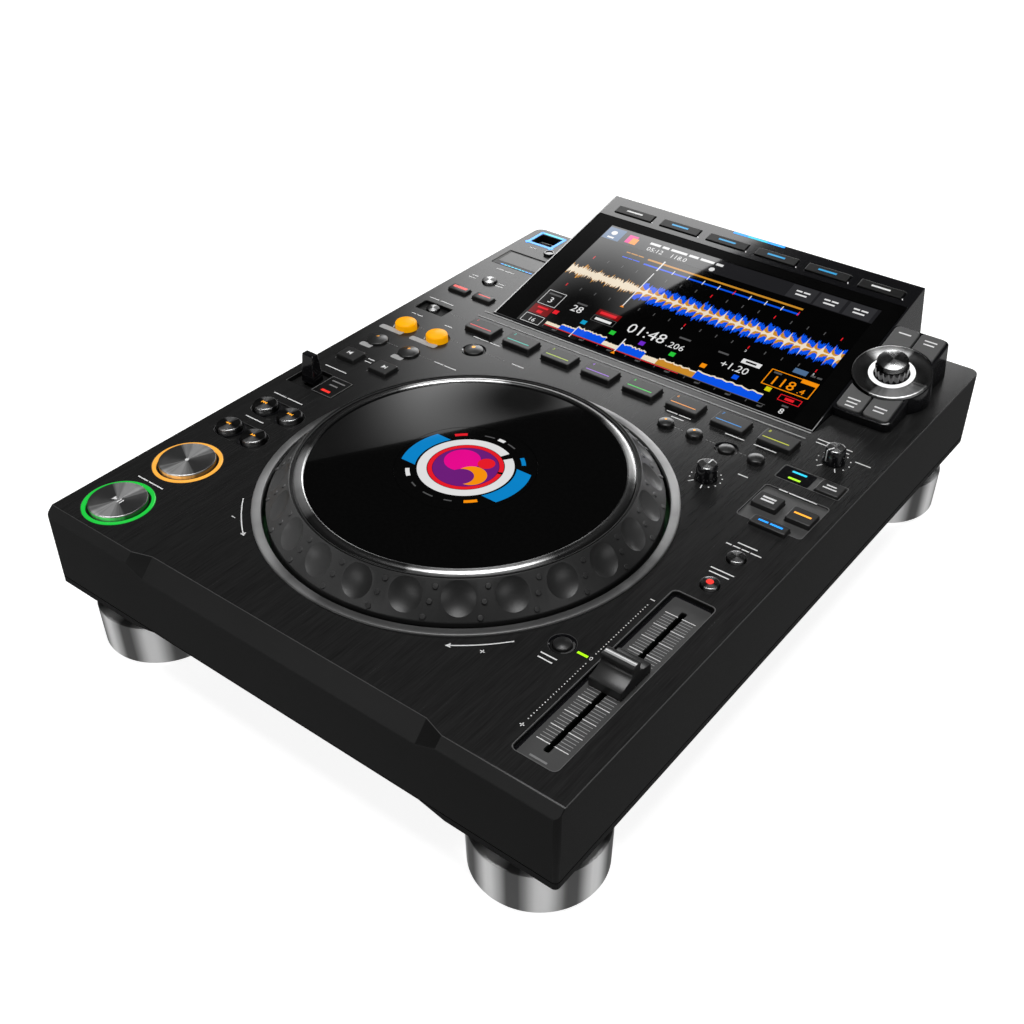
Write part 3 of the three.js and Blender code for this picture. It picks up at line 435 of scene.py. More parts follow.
def finished(name, parts, body, nodes=(), place=None):
    """Makes one piece of (shape, finish) pairs. It rides on a body and stands for its nodes."""
    whole = bmesh.new()
    for index, (shape, finish) in enumerate(parts):
        bmesh.ops.recalc_face_normals(shape, faces=shape.faces)
        for face in shape.faces:
            face.material_index = index
        poured(shape, whole)
    if place:
        whole.transform(place)
    bmesh.ops.scale(whole, vec=(mm, mm, mm), verts=whole.verts)
    piece = linked(name, whole)
    for shape, finish in parts:
        piece.data.materials.append(finish.material)
    piece.data.set_sharp_from_angle(angle=sharp_angle)
    for side in piece.data.polygons:
        side.use_smooth = side.area < broad_face
    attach(piece, body)
    if nodes:
        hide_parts(*nodes)
    return piece


def over_deck(node):
    """The place of a control: the middle of its node, at the height of the deck"""
    return Matrix.Translation((*middle(node), deck))


def control(node, parts, place=None):
    """Makes the piece of a control, which rides on its own body and stands for one node"""
    return finished(node, parts, node, [node], place or over_deck(node))


def moulding(name, tone, roughness, grain=900, depth=0.00002, gloss=0.0, specular=0.45):
    """Moulded plastic: a fine even grain in its colour, its sheen and its surface"""
    finish = Finish(name, Coat_Weight=gloss, Coat_Roughness=0.08, Specular_IOR_Level=specular)
    speckle = finish.noise(grain, 3)
    finish.set(
        Base_Color=finish.mixed(finish.noise(14), tint(tone, 0.8), tint(tone, 1.25)),
        Roughness=roughness - 0.05 + 0.1 * speckle,
    )
    finish.bump(speckle, depth, 0.5)
    return finish


case_finish = Finish("case_streaked_black", Specular_IOR_Level=0.22)
on_deck = case_finish.part("Z") > deck - 0.2
streaks = case_finish.noise((1500, 60, 40), 3) * 0.7 + case_finish.noise((420, 16, 10)) * 0.3
speckle = case_finish.noise(1300)
case_finish.set(
    Base_Color=case_finish.mixed(on_deck * ((streaks - 0.2) * 1.7), grey(0.01), grey(0.025)),
    Roughness=0.25 + on_deck * (streaks - 0.5) * 0.1 + (speckle - 0.5) * 0.04,
    Metallic=on_deck * 0.2,
)
case_finish.bump(on_deck * streaks + (1 - on_deck) * speckle, 0.00001, 0.11)
wall_finish = moulding("case_wall_satin_black", 0.006, 0.5, 1400, specular=0.15)
# The grey of the plates in the right-hand trays, and a painted highlight on the eased top edges and hole
# chamfers.
plate_and_edge_highlight_finish = moulding("case_plate_grey_and_painted_edge_highlight", 0.045, 0.45, 1400)
# A lighter copy of the wall's black for the front bevel, which faces the light: painted light.
lit_bevel_finish = moulding("case_bevel_painted_light", 0.016, 0.5, 1400, specular=0.15)

case_shape = block((-half_width, front_y, seam_height), (half_width, rear_y, deck))
corner_steps = 6
front_uprights = [e for e in upright_edges(case_shape) if e.verts[0].co.y < 0]
rounded(case_shape, front_uprights, front_corner, corner_steps)
rear_uprights = [e for e in upright_edges(case_shape) if min(v.co.y for v in e.verts) > rear_y - thin]
rounded(case_shape, rear_uprights, rear_corner, corner_steps)
bevel_back, bevel_down = 4.9, 4.2
bmesh.ops.bisect_plane(
    case_shape, geom=case_shape.verts[:] + case_shape.edges[:] + case_shape.faces[:],
    plane_co=(0, front_y + bevel_back, deck), plane_no=(0, -bevel_down, bevel_back), clear_outer=True,
)
bmesh.ops.holes_fill(case_shape, edges=case_shape.edges)
nose_back, nose_down, nose_half, nose_fade = 8.6, 9, 89, 11.5
nose_points = []
for side in (-1, 1):
    near, far = side * nose_half, side * (nose_half + nose_fade)
    nose_points += [
        (near, front_y + nose_back, deck), (near, front_y, deck - nose_down),
        (far, front_y + bevel_back, deck), (far, front_y, deck - bevel_down),
        (far, front_y - over, deck + over),
    ]
case_shape = carved(case_shape, [hull(nose_points)])
bmesh.ops.remove_doubles(case_shape, verts=case_shape.verts, dist=0.01)
bmesh.ops.dissolve_limit(case_shape, angle_limit=0.02, verts=case_shape.verts, edges=case_shape.edges)
rounded(case_shape, sharp_edges(case_shape), eased, 2)
hollow = block(
    (case_wall - half_width, front_y + front_wall, seam_height - over),
    (half_width - case_wall, rear_y - case_wall, deck - deck_thickness),
)


def round_cut(radius, x, y, low=hole_low, flare=thin):
    """A round hole in the deck with a small chamfer at its mouth"""
    section = [
        (0, low), (radius, low), (radius, deck - flare), (radius + flare, deck),
        (radius + flare, deck + over), (0, deck + over),
    ]
    return moved(turned(section), x, y)


def square_cut(width, depth, x, y, corner, low=hole_low, top=deck):
    """A rectangular hole or recess with rounded corners and a small chamfer at its mouth"""
    levels = [(low, 0), (top - thin, 0), (top, thin), (top + over, thin)]
    return moved(stacked(width, depth, corner, levels), x, y)


fit = 0.3
cap_radii = {
    "play_button": 15.5, "cue_button": 15.5, "search_back_button": 7.3, "search_forward_button": 7.3,
    "track_back_button": 7.3, "track_forward_button": 7.3, "loop_halve_button": 6.6,
    "loop_double_button": 6.6, "loop_in_button": 6.9, "loop_out_button": 6.9, "loop_exit_button": 5.9,
    "time_mode_button": 4.4, "media_stop_button": 4.9, "call_back_button": 4.6,
    "call_forward_button": 4.6, "delete_button": 4.5, "memory_button": 4.6, "tempo_range_button": 4.9,
    "pitch_lock_button": 4.9, "tempo_reset_button": 4.5,
}
key_sizes = {
    "jump_back_key": (14.4, 11.8), "jump_forward_key": (14.4, 11.8), "quantise_key": (14.6, 7.4),
    "slip_key": (14.6, 7.4), "jog_mode_key": (13.8, 11.2), "beat_sync_key": (14.4, 11.8),
    "master_key": (14.4, 11.8), "pitch_sync_key": (20.4, 7.2),
}
key_sizes.update({f"pad_key_{number}": (21, 13) for number in range(1, 9)})
ring_wells = {
    "loop_in_button": 8.1, "loop_out_button": 8.1, "loop_exit_button": 7.4,
    "delete_button": 6.6, "tempo_reset_button": 6.6,
}
jog_x, jog_y = middle("jog_wheel")
jog_hole = 106
slider_x, slider_y = middle("tempo_slider")
lever_x, lever_y = middle("direction_lever")
port_x, port_y = -147.56, 184.64
sync_plate = (36.4, 31.8, 138.29, 3.81)
time_plate = (22.6, 11.4, -146.0, 60.37)
mode_plate = (36.6, 12.6, 138.0, 35.25)
screen_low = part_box("screen_housing")[0] * metre
screen_gap = 0.4
screen_half = 113.5
screen_x = screen_low.x + screen_half

wide_cuts = [
    square_cut(23.1, 126.5, slider_x, slider_y, 2.5, deck - tray_depth),
    square_cut(*sync_plate, 2, deck - plate_depth),
    square_cut(*time_plate, 0.8, deck - 2.4),
    square_cut(*mode_plate, 1, deck - 0.4),
    square_cut(18.4, 20, lever_x - 2.2, lever_y, 0.6, deck - lever_well),
    square_cut(36, 21.7, *middle("card_door"), 0.5, deck - tray_depth),
    round_cut(jog_hole, jog_x, jog_y),
    block((screen_x - screen_half - screen_gap, screen_low.y - screen_gap, screen_low.z - 2),
          (screen_x + screen_half + screen_gap, rear_y + over, deck + over)),
]
for row in ("search", "track"):
    back_x, row_y = middle(f"{row}_back_button")
    forward_x = middle(f"{row}_forward_button")[0]
    wide_cuts.append(square_cut(36, 17, (back_x + forward_x) / 2, row_y, 8.2, deck - plate_depth))
wide_cuts += [round_cut(radius, *middle(node), deck - well_recess) for node, radius in ring_wells.items()]
wide_cuts += [round_cut(19, *middle(node), deck - ring_recess) for node in ("play_button", "cue_button")]
deep_cuts = [round_cut(radius + fit, *middle(node), flare=0.2) for node, radius in cap_radii.items()]
deep_cuts += [
    square_cut(width + 2 * fit, depth + 2 * fit, *middle(node), 0.9)
    for node, (width, depth) in key_sizes.items()
]
deep_cuts += [
    square_cut(2.6, 108.6, slider_x, slider_y, 1, top=deck - tray_depth),
    square_cut(6.6, 8.4, lever_x, lever_y, 0.5, top=deck - lever_well),
    square_cut(17, 14, port_x, port_y, 1),
]
deep_cuts += [round_cut(3.3, *middle(knob)) for knob in ("jog_weight_knob", "brake_speed_knob")]
socket_height = 59.2
sockets = {"power": (-101.99, 27.5, 20), "network": (49.35, 15, 13), "computer": (74.03, 12, 11)}
socket_cuts = [
    block((x - width / 2, rear_y - 8, socket_height - height / 2),
          (x + width / 2, rear_y + over, socket_height + height / 2))
    for x, width, height in sockets.values()
]
for cutters in ([hollow], wide_cuts, deep_cuts + socket_cuts):
    case_shape = carved(case_shape, cutters)
case_shell = finished("case_shell", [(case_shape, case_finish)], "case", ["upper_case"])
for finish in (wall_finish, plate_and_edge_highlight_finish, lit_bevel_finish):
    case_shell.data.materials.append(finish.material)
wall_index, plate_and_highlight_index, lit_bevel_index = 1, 2, 3
for case_face in case_shell.data.polygons:
    centre, normal = case_face.center * metre, case_face.normal
    # Slanted faces at the deck's top get the lighter grey as a painted highlight; tray floors at the right
    # get it as their plate.
    slanted = 0.2 < normal.z < 0.95
    in_tray = normal.z > 0.99 and deck - 3 < centre.z < deck - 0.3 and centre.x > right_trays
    if slanted and centre.z > deck - 0.5 or in_tray:
        case_face.material_index = plate_and_highlight_index
    # The front bevel gets the lighter black as painted light; the sideways notch facets keep the wall black.
    elif slanted and normal.y < -0.3 and abs(normal.x) < 0.1:
        case_face.material_index = lit_bevel_index
    elif normal.z < 0.5 or centre.z < deck - 2:
        case_face.material_index = wall_index


# Bottom plate and board: the plate is pressed steel, painted satin black, with screws from below.
# The board is green glass fibre with copper traces under its lacquer. Both keep their CAD shape.
def dressed(node, finish):
    """Gives a CAD node a better finish"""
    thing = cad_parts[node]
    for slot in thing.material_slots:
        slot.material = finish.material


dressed("bottom_plate", moulding("chassis_painted_steel", 0.007, 0.5, 1200, 0.00003, specular=0.1))
board_finish = Finish("board_green_lacquer", Roughness=0.35, Coat_Weight=0.4)
traces = (board_finish.noise((260, 30, 1), 1) - 0.5) * 9
board_finish.set(Base_Color=board_finish.mixed(traces, (0.002, 0.02, 0.007, 1), (0.01, 0.05, 0.014, 1)))
dressed("main_board", board_finish)
screw_finish = cloudy("screw_black_zinc", 900, 0.06, 0.14, Metallic=1.0, Roughness=0.35)


def screw(x, y, z):
    """A countersunk screw seen from its head, with a cross slot"""
    radius, slot_half = 2.8, 0.35
    slot_reach = radius * 0.6
    section = [(0, 0), (radius * 0.5, 0), (radius, 0.7), (radius, 1.1), (radius * 0.8, 1.5), (0, 1.5)]
    head = turned(section, 20)
    for across, along in ((slot_reach, slot_half), (slot_half, slot_reach)):
        head = carved(head, [block((-across, -along, 0.8), (across, along, 2))])
    return moved(rotated(head, math.pi, "X"), x, y, z)


plate_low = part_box("bottom_plate")[0].z * metre
screw_places = [(x, y) for x in (-84, 0, 84) for y in (-212, -20, 185)] + [(-154, -20), (154, -20)]
plate_screws = joined(*[screw(x, y, plate_low + 0.6) for x, y in screw_places])
finished("bottom_screws", [(plate_screws, screw_finish)], "case")


# Feet: aluminium drums turned on a lathe, on a rubber ring, under a black neck.
# A fine tool mark runs round each drum.
def foot_aluminium(foot):
    """Satin aluminium: tool marks run round the drum, and upright bands of painted highlight lie in its
    colour
    """
    finish = Finish(foot + "_aluminium", Metallic=0.5, Anisotropic=0.6)
    tool_marks = finish.noise((2, 2, 2600))
    # Upright bands of painted highlight: the drum's colour is lighter at three angles round it.
    painted_bands = finish.mixed(finish.fans(middle(foot), -50, 3, 0.1, 0.5), grey(0.12), grey(1))
    finish.set(Base_Color=painted_bands, Roughness=0.3 + 0.12 * tool_marks)
    finish.bump(tool_marks, 0.00002, 0.4)
    return finish


rubber = moulding("rubber_black", 0.012, 0.75, 700, 0.00006)
neck_finish = moulding("foot_neck_black", (0.014, 0.014, 0.015), 0.35)
foot_rubber = [(0, 0), (30, 0), (31, 0.4), (31, 1.4), (0, 1.4)]
foot_drum = [
    (0, 0.9), (32.8, 0.9), (33.4, 1.5), (33.9, 24.8), (33.6, 26), (32.5, 26.6), (28.4, 26.6),
    (28.4, 26), (0, 26),
]
foot_neck = [(0, 25.6), (28, 25.6), (28, 33), (27, 34), (27, 37.2), (0, 37.2)]
for foot in ("foot_front_left", "foot_front_right", "foot_rear_left", "foot_rear_right"):
    foot_parts = [
        (turned(foot_rubber, 96), rubber), (turned(foot_drum, 128), foot_aluminium(foot)),
        (turned(foot_neck, 96), neck_finish),
    ]
    place = Matrix.Translation((*middle(foot), 0))
    finished(foot, foot_parts, "case", [foot], place)


# Play and cue: two large dished caps, spun from aluminium, each inside a lit ring.
# The caps sit in holes of the deck and press switches on the board under it.
def ring_points(x, y, radius, turns):
    return [(x + radius * math.cos(turn), y + radius * math.sin(turn)) for turn in turns]


class Marks:
    """Thin printed or lit marks on one flat surface, kept apart by their finish"""

    def __init__(self, top):
        self.top = top
        self.shapes = {}

    def sheet(self, finish):
        if finish not in self.shapes:
            self.shapes[finish] = bmesh.new()
        return self.shapes[finish]

    def raise_faces(self, shape, faces, lift):
        points = points_of(bmesh.ops.extrude_face_region(shape, geom=faces)["geom"])
        bmesh.ops.translate(shape, vec=(0, 0, mark_sink + lift), verts=points)

    def outline(self, finish, points, lift=0.05):
        """A plate of any outline, its top a little over the surface"""
        shape = self.sheet(finish)
        low = self.top - mark_sink
        face = shape.faces.new([shape.verts.new((x, y, low)) for x, y in points])
        self.raise_faces(shape, [face], lift)

    def bar(self, finish, x, y, width, depth, turn=0, lift=0.05):
        across = Vector((math.cos(turn), math.sin(turn))) * width / 2
        along = Vector((-math.sin(turn), math.cos(turn))) * depth / 2
        centre = Vector((x, y))
        corners = [centre - across - along, centre + across - along]
        corners += [centre + across + along, centre - across + along]
        self.outline(finish, corners, lift)

    def disc(self, finish, x, y, radius, steps=16, lift=0.05):
        turns = [2 * math.pi * i / steps for i in range(steps)]
        self.outline(finish, ring_points(x, y, radius, turns), lift)

    def arc(self, finish, x, y, inner, outer, start, end, steps=24):
        """A stretch of a ring between two angles in degrees"""
        turns = [math.radians(start + (end - start) * i / steps) for i in range(steps + 1)]
        rim = ring_points(x, y, outer, turns) + ring_points(x, y, inner, turns[::-1])
        self.outline(finish, rim)

    def triangle(self, finish, x, y, size, turn=0, lift=0.05):
        turns = [turn + step * 2 * math.pi / 3 for step in range(3)]
        self.outline(finish, ring_points(x, y, size, turns), lift)

    def frame(self, finish, x, y, width, depth, corner=0.8, line=0.35, lift=0.05):
        """A thin line round a rounded rectangle"""
        ring = rounded_sheet(width, depth, corner)
        inside = ring.faces[:]
        bmesh.ops.inset_region(ring, faces=inside, thickness=line, use_boundary=True, use_even_offset=True)
        bmesh.ops.delete(ring, geom=inside, context="FACES_ONLY")
        moved(ring, x, y, self.top - mark_sink)
        self.raise_faces(ring, ring.faces[:], lift)
        poured(ring, self.sheet(finish))

    def figures(self, finish, text, x, y, size, lift=0.05):
        """Digits or signs, made a mesh before they are placed"""
        curve = bpy.data.curves.new("figures", "FONT")
        curve.body = text
        curve.size = size
        curve.resolution_u = 2
        curve.align_x = "CENTER"
        curve.align_y = "CENTER"
        curve.extrude = (mark_sink + lift) / 2
        holder = bpy.data.objects.new("figures", curve)
        mesh = bpy.data.meshes.new_from_object(holder)
        shape = bmesh.new()
        shape.from_mesh(mesh)
        bpy.data.objects.remove(holder)
        bpy.data.curves.remove(curve)
        bpy.data.meshes.remove(mesh)
        bmesh.ops.remove_doubles(shape, verts=shape.verts, dist=1e-4)
        poured(moved(shape, x, y, self.top + (lift - mark_sink) / 2), self.sheet(finish))

    def parts(self, *under):
        """The marks as (shape, finish) pairs, after those of the surface under them"""
        return [*under, *((shape, finish) for finish, shape in self.shapes.items())]


mark_sink = 0.1
flange_low, flange_high, flange_reach = -6.5, -5.3, 0.8


def cap_section(radius, height, edge, crown):
    """Half section of a button: flange under the deck, rounded shoulder, and a crowned or dished top"""
    inner, flange, steps = radius - edge, radius + flange_reach, 6
    section = [(0, flange_low), (flange, flange_low), (flange, flange_high), (radius, flange_high)]
    for i in range(steps + 1):
        turn = math.pi / 2 * i / steps
        section.append((inner + edge * math.cos(turn), height - edge + edge * math.sin(turn)))
    for i in range(1, steps + 1):
        share = 1 - i / steps
        section.append((inner * share, height + crown * (1 - share * share)))
    return section


def spun(name, centre, low, high, roughness, axis=122, metal=0.8):
    """Metal or black chrome turned on a lathe, with fans of painted highlight round its middle in its colour
    """
    finish = Finish(name, Metallic=metal, Anisotropic=0.7)
    # Painted highlight: its colour runs from low to high in fans round its middle.
    shine = finish.mixed(finish.fans(centre, axis), grey(low), grey(high))
    finish.set(Base_Color=shine, Roughness=roughness - 0.04 + 0.08 * finish.noise(420, 3))
    return finish


def lit(name, colour, strength=1.0):
    """A lamp behind a milky window: a little uneven, as light spreads in plastic"""
    finish = Finish(name, Roughness=0.35, Emission_Strength=strength, Base_Color=tint(colour, 0.2))
    cloud = finish.noise(160) * 1.5 - 0.2
    finish.set(Emission_Color=finish.mixed(cloud, tint(colour, 0.82), tint(colour)))
    return finish


def printed(name, tone):
    """Screen-printed ink: matt, with a faint unevenness"""
    finish = Finish(name, Specular_IOR_Level=0.3)
    cloud = finish.noise(800)
    colour = finish.mixed(cloud, tint(tone, 0.85), tint(tone))
    finish.set(Base_Color=colour, Roughness=0.5 + 0.1 * cloud)
    return finish


white_ink = printed("white_ink", 0.85)
grey_ink = printed("grey_ink", 0.22)
dim_ink = printed("dim_grey_ink", 0.11)
play_green = lit("play_green_light", (0.01, 0.56, 0.05))
cue_amber = lit("cue_amber_light", (1.0, 0.45, 0.06))
ring_section = [(16.9, -1.3), (18.9, -1.3), (18.9, 0), (18.6, 0.3), (17.2, 0.3), (16.9, 0)]
for node, light in (("play_button", play_green), ("cue_button", cue_amber)):
    face = Marks(1.75)
    if node == "play_button":
        face.triangle(white_ink, -2.3, 0, 1.9)
        face.bar(white_ink, 1.2, 0, 0.8, 3.2)
        face.bar(white_ink, 2.9, 0, 0.8, 3.2)
    else:
        face.disc(white_ink, 0, 0, 1.1)
    large_cap = turned(cap_section(cap_radii[node], 2.1, 0.7, -0.4), 128)
    # The cap's colour carries painted fans of highlight.
    spun_aluminium = spun(node + "_spun_aluminium", middle(node), 0.12, 1.0, 0.3, 108)
    control(node, face.parts((large_cap, spun_aluminium)))
    ring = [(turned(ring_section, 96, True), light)]
    finished(node.replace("button", "ring"), ring, "case", place=over_deck(node))


# Search and track: four small caps of black chrome in pairs, each pair in its own shallow tray.
# Two small arrows on each cap are lit in amber from below.
# Black chrome whose colour carries painted fans of highlight.
def black_chrome(node):
    return spun(node + "_black_chrome", middle(node), 0.015, 0.4, 0.24)


gloss_finish = moulding("gloss_black_plastic", (0.006, 0.006, 0.007), 0.12, 600, 0.000004, 0.6)
amber_light = lit("amber_mark_light", (1.0, 0.4, 0.02), 1.4)
for row in ("search", "track"):
    for side, way in ((-1, "back"), (1, "forward")):
        node = f"{row}_{way}_button"
        face = Marks(3.0)
        for step in (-0.8, 0.9):
            face.triangle(amber_light, side * step, 0, 1.0, 0 if side > 0 else math.pi)
        if row == "track":
            face.bar(amber_light, side * 2.2, 0, 0.4, 1.8)
        small_cap = turned(cap_section(cap_radii[node], 2.8, 0.9, 0.2), 64)
        control(node, face.parts((small_cap, black_chrome(node))))
    back_x, row_y = middle(f"{row}_back_button")
    row_x = (back_x + middle(f"{row}_forward_button")[0]) / 2
    collars = [
        moved(turned([(7.9, -1), (9.3, -1), (9.1, -0.2), (8.2, -0.2)], 48, True), x, row_y, deck)
        for x in (back_x, 2 * row_x - back_x)
    ]
    bridge = stacked(5.2, 3.4, 0.8, [(-1, 0), (-0.2, 0), (0, -0.2)])
    tray_trim = joined(*collars, moved(bridge, row_x, row_y + 4.2, deck))
    finished(f"{row}_tray_trim", [(tray_trim, gloss_finish)], "case")


# Keys: square caps of satin black plastic, with a lit line or a printed sign on each.
# Each cap's flange hangs under the deck, so that the key can't be pulled out.
key_finish = moulding("key_satin_black", 0.016, 0.36, 1500, 0.000012, specular=0.25)


def key(node, face):
    """A key with a flange below, soft shoulders and a flat top at the height of its marks"""
    width, depth = key_sizes[node]
    height, edge, corner = face.top, 0.6, 1.1
    levels = [(flange_low + 0.4, 0), (height - edge, 0), (height - edge * 0.35, -edge * 0.3), (height, -edge)]
    flange = stacked(
        width + 2 * flange_reach, depth + 2 * flange_reach, corner, [(flange_low, 0), (flange_high, 0)],
    )
    cap = joined(stacked(width, depth, corner, levels), flange)
    control(node, face.parts((cap, key_finish)))


pad_lights = {
    "red": (0.8, 0.02, 0.02), "teal": (0.0, 0.45, 0.35), "lime": (0.36, 0.5, 0.0),
    "violet": (0.26, 0.08, 0.62), "green": (0.01, 0.6, 0.04), "orange": (0.8, 0.27, 0.01),
    "blue": (0.0, 0.22, 0.62), "yellow": (0.5, 0.55, 0.01),
}
for number, (name, colour) in enumerate(pad_lights.items(), 1):
    pad_light = lit(f"pad_{name}_light", colour)
    face = Marks(3)
    face.bar(pad_light, -0.7, -2.4, 16.3, 0.7)
    face.figures(pad_light, str(number), -7.7, 4.0, 3.0)
    key(f"pad_key_{number}", face)

red_light = lit("red_mark_light", (1.0, 0.03, 0.02))
blue_light = lit("blue_mark_light", (0.0, 0.3, 1.0), 1.5)
lime_light = lit("lime_mark_light", (0.35, 0.8, 0.0), 1.5)
for node, side in (("jump_back_key", -1), ("jump_forward_key", 1)):
    face = Marks(2.5)
    face.triangle(white_ink, side * 0.4, 0.3, 2.0, 0 if side > 0 else math.pi)
    face.bar(white_ink, side * 2.4, 0.3, 0.5, 3.2)
    key(node, face)
for node, height, key_marks in (
    ("quantise_key", 2, [(red_light, 0, 0.9, 11, 2.3)]),
    ("slip_key", 2, [(red_light, 0, 0.9, 9.8, 0.7)]),
    ("jog_mode_key", 1.2, [(white_ink, 0, 1.4, 5.6, 1.0), (white_ink, 0, -1.2, 7.8, 1.0)]),
    ("beat_sync_key", 2, [(white_ink, 0, 1.6, 7.6, 1.4), (white_ink, 0, -1.0, 7.6, 1.4)]),
    ("master_key", 2, [(amber_light, 0, 0.4, 9.6, 1.3)]),
    ("pitch_sync_key", 2, [(blue_light, -3.8, 0.2, 5.4, 1.3), (blue_light, 3.6, 0.2, 7, 1.3)]),
):
    face = Marks(height)
    for mark in key_marks:
        face.bar(*mark)
    key(node, face)


# Loop and memory buttons: low black caps, some with a lit sign or dot, two amber lens domes, and
# caps of black chrome. All press straight down on the board's switches.
lens_finish = Finish("amber_lens", Roughness=0.3, Specular_IOR_Level=0.12, Emission_Strength=0.6)
lens_depth = lens_finish.noise((120, 120, 60))
lens_finish.set(
    Base_Color=(0.7, 0.27, 0.002, 1),
    Emission_Color=lens_finish.mixed(lens_depth, (0.75, 0.3, 0.0, 1), (1.0, 0.46, 0.0, 1)),
)
cap_finish = moulding("button_satin_black", 0.014, 0.3, 1500, 0.000012, 0.1)
button_signs = {"loop_halve": "4", "loop_double": "8"}
button_dots = {
    "loop_exit": (amber_light, -0.9, 1.0, 1.2), "call_back": (amber_light, -0.7, 0.8, 0.7),
    "call_forward": (amber_light, -0.7, 0.8, 0.7), "pitch_lock": (red_light, -0.3, 0.3, 1.9),
}
for names, slot, section, face_height in (
    (("loop_halve", "loop_double"), "key_black", (1.4, 0.6, 0.9), 2.2),
    (("loop_in", "loop_out"), "amber_lens", (4, 1.4, 0.6), 4.6),
    (("loop_exit",), "key_black", (0.8, 0.6, 0.7), 1.45),
    (("delete", "tempo_reset"), "key_black", (0.6, 0.7, 0.6), 1.15),
    (("call_back", "call_forward", "memory"), "key_black", (2.6, 0.9, 0.6), 3.15),
    (("media_stop", "tempo_range", "pitch_lock"), "gloss_black", (1.6, 0.6, 0.2), 1.8),
    (("time_mode",), "gloss_black", (-0.6, 0.6, 0.2), -0.4),
):
    for name in names:
        node = name + "_button"
        face = Marks(face_height)
        if name in button_signs:
            face.figures(amber_light, button_signs[name], -0.8, 1.2, 3.4)
        if name in button_dots:
            face.disc(*button_dots[name])
        button_cap = turned(cap_section(cap_radii[node], *section), 64)
        finish = {"key_black": cap_finish, "amber_lens": lens_finish}.get(slot) or black_chrome(node)
        control(node, face.parts((button_cap, finish)))
well_rings = []
for node, radius in ring_wells.items():
    well_ring = turned([(radius - 0.7, -1), (radius, -1), (radius, -0.1), (radius - 0.7, -0.7)], 64, True)
    well_rings.append(moved(well_ring, *middle(node), deck))
finished("button_well_rings", [(joined(*well_rings), gloss_finish)], "case")


# Tempo slider: a waisted cap with a flat ridge, moulded in black, on a stem through the tray's slot.
# A white line across the ridge shows its place against the combs that are printed in the tray.
def along_x(profile, width):
    """A (y, z) outline drawn out across the player"""
    shape = bmesh.new()
    face = shape.faces.new([shape.verts.new((-width / 2, y, z)) for y, z in profile])
    points = points_of(bmesh.ops.extrude_face_region(shape, geom=[face])["geom"])
    bmesh.ops.translate(shape, vec=(width, 0, 0), verts=points)
    return shape


tag_ink = printed("tag_grey_ink", 0.4)
slider_low, slider_height = -2.5, 10
half_slider = 12
slider_side = [(half_slider, slider_low), (half_slider, 2.2), (half_slider - 0.5, 2.6), (9.8, 2.6)]
slider_side += [(2.7 + 6.9 * (1 - i / 8) ** 2.2, 2.6 + 4.2 * i / 8) for i in range(1, 9)]
slider_side += [(3.2, 8.6), (3.1, 9.6), (2.7, slider_height)]
slider_outline = slider_side + [(-y, z) for y, z in reversed(slider_side)]
slider_cap = along_x(slider_outline, 17.4)
slider_ridges = [e for e in sharp_edges(slider_cap, 0.9) if abs(e.verts[0].co.x - e.verts[1].co.x) < 1]
rounded(slider_cap, slider_ridges, 0.5, 2)
slider_cap = joined(slider_cap, block((-1, -4, -8.5), (1, 4, slider_low + 1)))
face = Marks(slider_height)
face.bar(tag_ink, 0, 0, 16.4, 2.2, lift=0.04)
face.bar(white_ink, 0, 0.3, 16.4, 0.7)
slider_finish = moulding("slider_satin_black", 0.02, 0.34, 900, 0.000006)
control("tempo_slider", face.parts((slider_cap, slider_finish)))

tray_floor = Marks(deck - tray_depth)
comb_step, comb_marks = 2.0, 50
for i in range(comb_marks + 1):
    y = slider_y + (i - comb_marks / 2) * comb_step
    major = i % 5 == 0
    for centre, short, long in ((slider_x - 4.6, 6.2, 7.0), (slider_x + 4.9, 6.4, 7.2)):
        tone = white_ink if major else tag_ink
        tray_floor.bar(tone, centre, y, long if major else short, 0.45 if major else 0.3, lift=0.02)
tray_floor.bar(grey_ink, slider_x, -205.5, 9, 1.1)
tray_floor.frame(gloss_finish, slider_x, slider_y, 23, 126.4, 2.4, 1.3, 0.03)
finished("slider_combs", tray_floor.parts(), "case")


# Direction lever: a tapered paddle of gloss black on a stem that rocks about a pin under the deck.
# It stands in a shallow well, beside a smoked window with two printed marks and a red lamp.
paddle = hull([
    (side * width / 2, end * depth / 2, height)
    for side in (-1, 1) for end in (-1, 1) for width, depth, height in ((10.4, 8.6, -1.5), (8.9, 4.6, 17))
])
bmesh.ops.dissolve_limit(paddle, angle_limit=0.02, verts=paddle.verts, edges=paddle.edges)
rounded(paddle, paddle.edges[:], 0.7, 3)
lever_stem = block((-3, -2, -9), (3, 2, 0))
lever_pin = turned([(0, -5.3), (1.3, -5.3), (1.6, -5), (1.6, 5), (1.3, 5.3), (0, 5.3)], 24)
lever_shape = joined(paddle, lever_stem, moved(rotated(lever_pin, math.pi / 2, "Y"), 0, 0, -9))
control("direction_lever", [(lever_shape, gloss_finish)])
window_x, window_y = -129.6, -50.2
window_finish = moulding("window_smoked_black", 0.003, 0.35, 600, 0.000004, specular=0.15)
window_plate = moved(stacked(16.4, 19.6, 0.8, [(-1, 0), (0.15, 0), (0.35, -0.25)]), window_x, window_y, deck)
window = Marks(deck + 0.35)
window.bar(grey_ink, window_x, window_y + 5.6, 10, 1.1)
window.bar(grey_ink, window_x, window_y + 1.2, 6, 1.1)
window.bar(red_light, window_x, window_y - 5.4, 6.6, 1.9)
window.frame(grey_ink, window_x, window_y, 15.6, 18.8, 0.6, 0.25)
finished("direction_window", window.parts((window_plate, window_finish)), "case")


